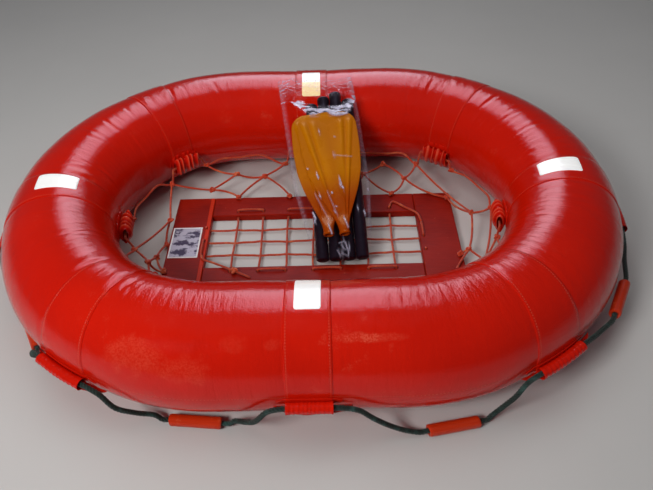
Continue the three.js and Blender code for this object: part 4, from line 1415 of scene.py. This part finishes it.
def film_bag():
    """Rows run up the outside of the film and, further apart, down its inside. The section is a square
    with round corners, and sines on each other ruffle it most where it is crumpled and at its mouth."""
    low_end, sides = np.linspace(0, 0.020, 10), np.linspace(0.0225, BAG["length"], BAG["side_rows"])
    outside = np.concatenate([low_end, sides])
    inside = outside[::-1][::6]
    y = np.concatenate([outside, inside])[:, None]
    skin = np.concatenate([np.zeros(len(outside)), np.full(len(inside), BAG["film"])])[:, None]
    t = np.linspace(-0.985, 0.985, 104)
    over = np.arccos(np.sign(t) * np.abs(t) ** 2.5)
    near_side = np.linspace(0.02, 0.30, 7)
    over = np.sort(np.concatenate([over, near_side, math.pi - near_side, [0, math.pi]]))
    under = math.pi + np.arccos(np.linspace(1, -1, 32)[1:-1])
    c, s = rounded_square(np.concatenate([over, under])[None, :], 5)
    left, right = (np.interp(y, BAG_SIDES[:, 0], BAG_SIDES[:, k]) for k in (1, 2))
    top = averaged(y, BAG_TOP, 0.008, 5)
    close = 0.86 + 0.14 * np.sqrt(smoothstep(0, 0.014, y))
    x = (left + right) / 2 + ((right - left) / 2 - 0.001) * close * c
    on_top = smoothstep(0.02, 0.25, s)
    middle, half = (np.interp(x, CRUMPLE[:, 0], CRUMPLE[:, k]) for k in (1, 2))
    crumpled = smoothstep(1.25, 0.6, np.abs(y - middle) / half) * on_top
    mouth = smoothstep(*BAG["mouth"], y)
    ruffle = np.sin(x / 0.0071 + 2.2 * np.sin(y / 0.013)) + np.sin((x + 0.8 * y) / 0.0046)
    ruffle = ruffle + np.sin((0.7 * x - y) / 0.0060)
    depth = RUFFLE["everywhere"] + RUFFLE["crumpled"] * crumpled + RUFFLE["mouth"] * mouth
    ruffle = ruffle * depth * on_top
    flutter = BAG["flutter"] * np.sin(x / 0.019 + 0.7) * smoothstep(0.49, BAG["length"], y) * on_top
    rise, clear = (top / 2) * close, BAG["clear"]
    height = np.maximum(rise + clear + (rise - 2 * clear - skin) * s + ruffle + flutter, clear + skin)
    drawn_in = BAG["drawn_in"] * (0.5 + 0.5 * np.sin(x / 0.023 + 1.1)) * smoothstep(0.50, BAG["length"], y)
    grid = np.stack([x - skin * c, y - drawn_in + 0 * x, height], -1)
    fields = {
        "crumpled": crumpled,
        "mouth": mouth * on_top + 0 * x,
        "side": smoothstep(0.84, 0.975, np.abs(c)) * smoothstep(0.03, 0.1, y),
        "glint": glints_at(x, y + 0 * x) * on_top,
    }
    flat = np.stack([x, y + 0 * x], -1)
    return Shell(in_pack(grid), lay=np.concatenate([flat, flat[:, :1]], 1), fields=fields)


def clear_film():
    """Clear film: hardly seen where it lies smooth; painted reflection makes it milky along its sides and
    its mouth, and painted highlights make it white where it is crumpled and along the folds that catch the
    light."""
    paint = Paint("clear_film", Specular_IOR_Level=0.7, Coat_Weight=0.4, Coat_Roughness=0.04)
    crumpled, mouth, side, glint = (paint.field(name) for name in ("crumpled", "mouth", "side", "glint"))
    haze = paint.noise(paint.place(), 26.0, 3.0, 0.6)
    lay = paint.lay()
    stray = paint.node("TexNoise", {"Vector": lay, "Scale": 30.0}, output=1)
    sockets = {0: stray, 1: (0.03, 0.03, 0.0), 2: lay}
    warped = paint.node("VectorMath", sockets, operation="MULTIPLY_ADD")
    streaks = paint.noise(paint.stretched(warped, (70.0, 230.0, 1.0)), 1.0, 4.0, 0.65)
    veins = paint.noise(paint.stretched(warped, (34.0, 62.0, 1.0)), 1.0, 2.0)
    lines = paint.between(abs(veins - 0.5), 0.0, 0.028, 1.0, 0.0)
    pleats = paint.noise(paint.stretched(warped, (26.0, 115.0, 1.0)), 1.0, 2.0)
    white = paint.between(pleats, 0.42, 0.5, 0.02, 0.72) + paint.between(streaks, 0.45, 0.6) * 0.15
    # alpha over the pale base colour: painted reflection on the sides and mouth, painted highlights on
    # crumples and glints
    alpha = side * paint.between(streaks, 0.4, 0.7, 0.02, 0.12) + crumpled * white
    alpha = alpha + mouth * (paint.between(streaks, 0.52, 0.74) * 0.22 + lines * 0.3 + 0.02)
    alpha = (alpha + glint * paint.between(streaks, 0.3, 0.5, 0.5, 1.0)).math("MINIMUM", 0.92)
    paint.give({"Base Color": (0.70, 0.68, 0.90), "Alpha": alpha, "Roughness": haze * 0.1 + 0.06})
    paint.bump((streaks, 0.0010), (pleats, 0.0040))
    return paint.material


bag = piece_of("clear_bag", [film_bag()], clear_film())
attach(bag, "float_ring")
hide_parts("film_bag")


# Stage, lights and the end

def add_light(name, place, target, size, power, colour, shine_only=False):
    """A rectangular light that faces a target: for shine alone, or for all but shine."""
    light = bpy.data.objects.new(name, bpy.data.lights.new(name, "AREA"))
    light.data.shape = "RECTANGLE"
    light.data.size, light.data.size_y = size
    light.data.energy = power
    light.data.color = colour
    light.visible_camera = False
    light.visible_glossy = shine_only
    light.visible_diffuse = not shine_only
    facing = (Vector(target) - Vector(place)).to_track_quat("-Z", "Y")
    light.matrix_world = Matrix.LocRotScale(Vector(place), facing, None)
    bpy.context.scene.collection.objects.link(light)


FLOOR_REACH = 6
FLOOR_THICKNESS = 0.01


def add_stage():
    """A floor slab whose top is at 0, and a dim even sky."""
    edge = np.array([(-1, -FLOOR_THICKNESS), (1, -FLOOR_THICKNESS), (1, 0), (-1, 0)])
    slab = np.array([[(x * FLOOR_REACH, y, z) for x, z in edge] for y in (-FLOOR_REACH, FLOOR_REACH)])
    floor = piece_of("floor", [Shell(slab)], pale_floor(), smooth=False)
    world = bpy.data.worlds.new("studio")
    world.use_nodes = True
    sky = world.node_tree.nodes["Background"]
    sky.inputs["Color"].default_value = (0.9, 0.92, 1.0, 1)
    sky.inputs["Strength"].default_value = 0.08
    bpy.context.scene.world = world
    bpy.context.scene.view_settings.view_transform = "Standard"


def pale_floor():
    """Smooth pale floor with the faintest cloudiness."""
    paint = Paint("pale_floor", Roughness=0.8, Specular_IOR_Level=0.1)
    cloud = paint.noise(paint.place(), 3.0, 3.0)
    paint.give({"Base Color": paint.mix(cloud, (0.60, 0.597, 0.59), (0.65, 0.646, 0.64))})
    return paint.material


add_stage()
add_light(
    "shine_panel", (-0.14, 3.93, 4.74), (-0.14, 1.13, 3.65), (2.75, 6.1), 250, (0.90, 0.86, 1.0),
    shine_only=True,
)
add_light("overhead", (-0.1, 0.1, 2.4), (0, 0, 0), (2.4, 1.8), 20, (1.0, 0.98, 0.95))
add_light("key", (-1.35, -1.9, 2.0), (0, 0, 0.1), (0.9, 0.7), 42, (1.0, 0.98, 0.96))
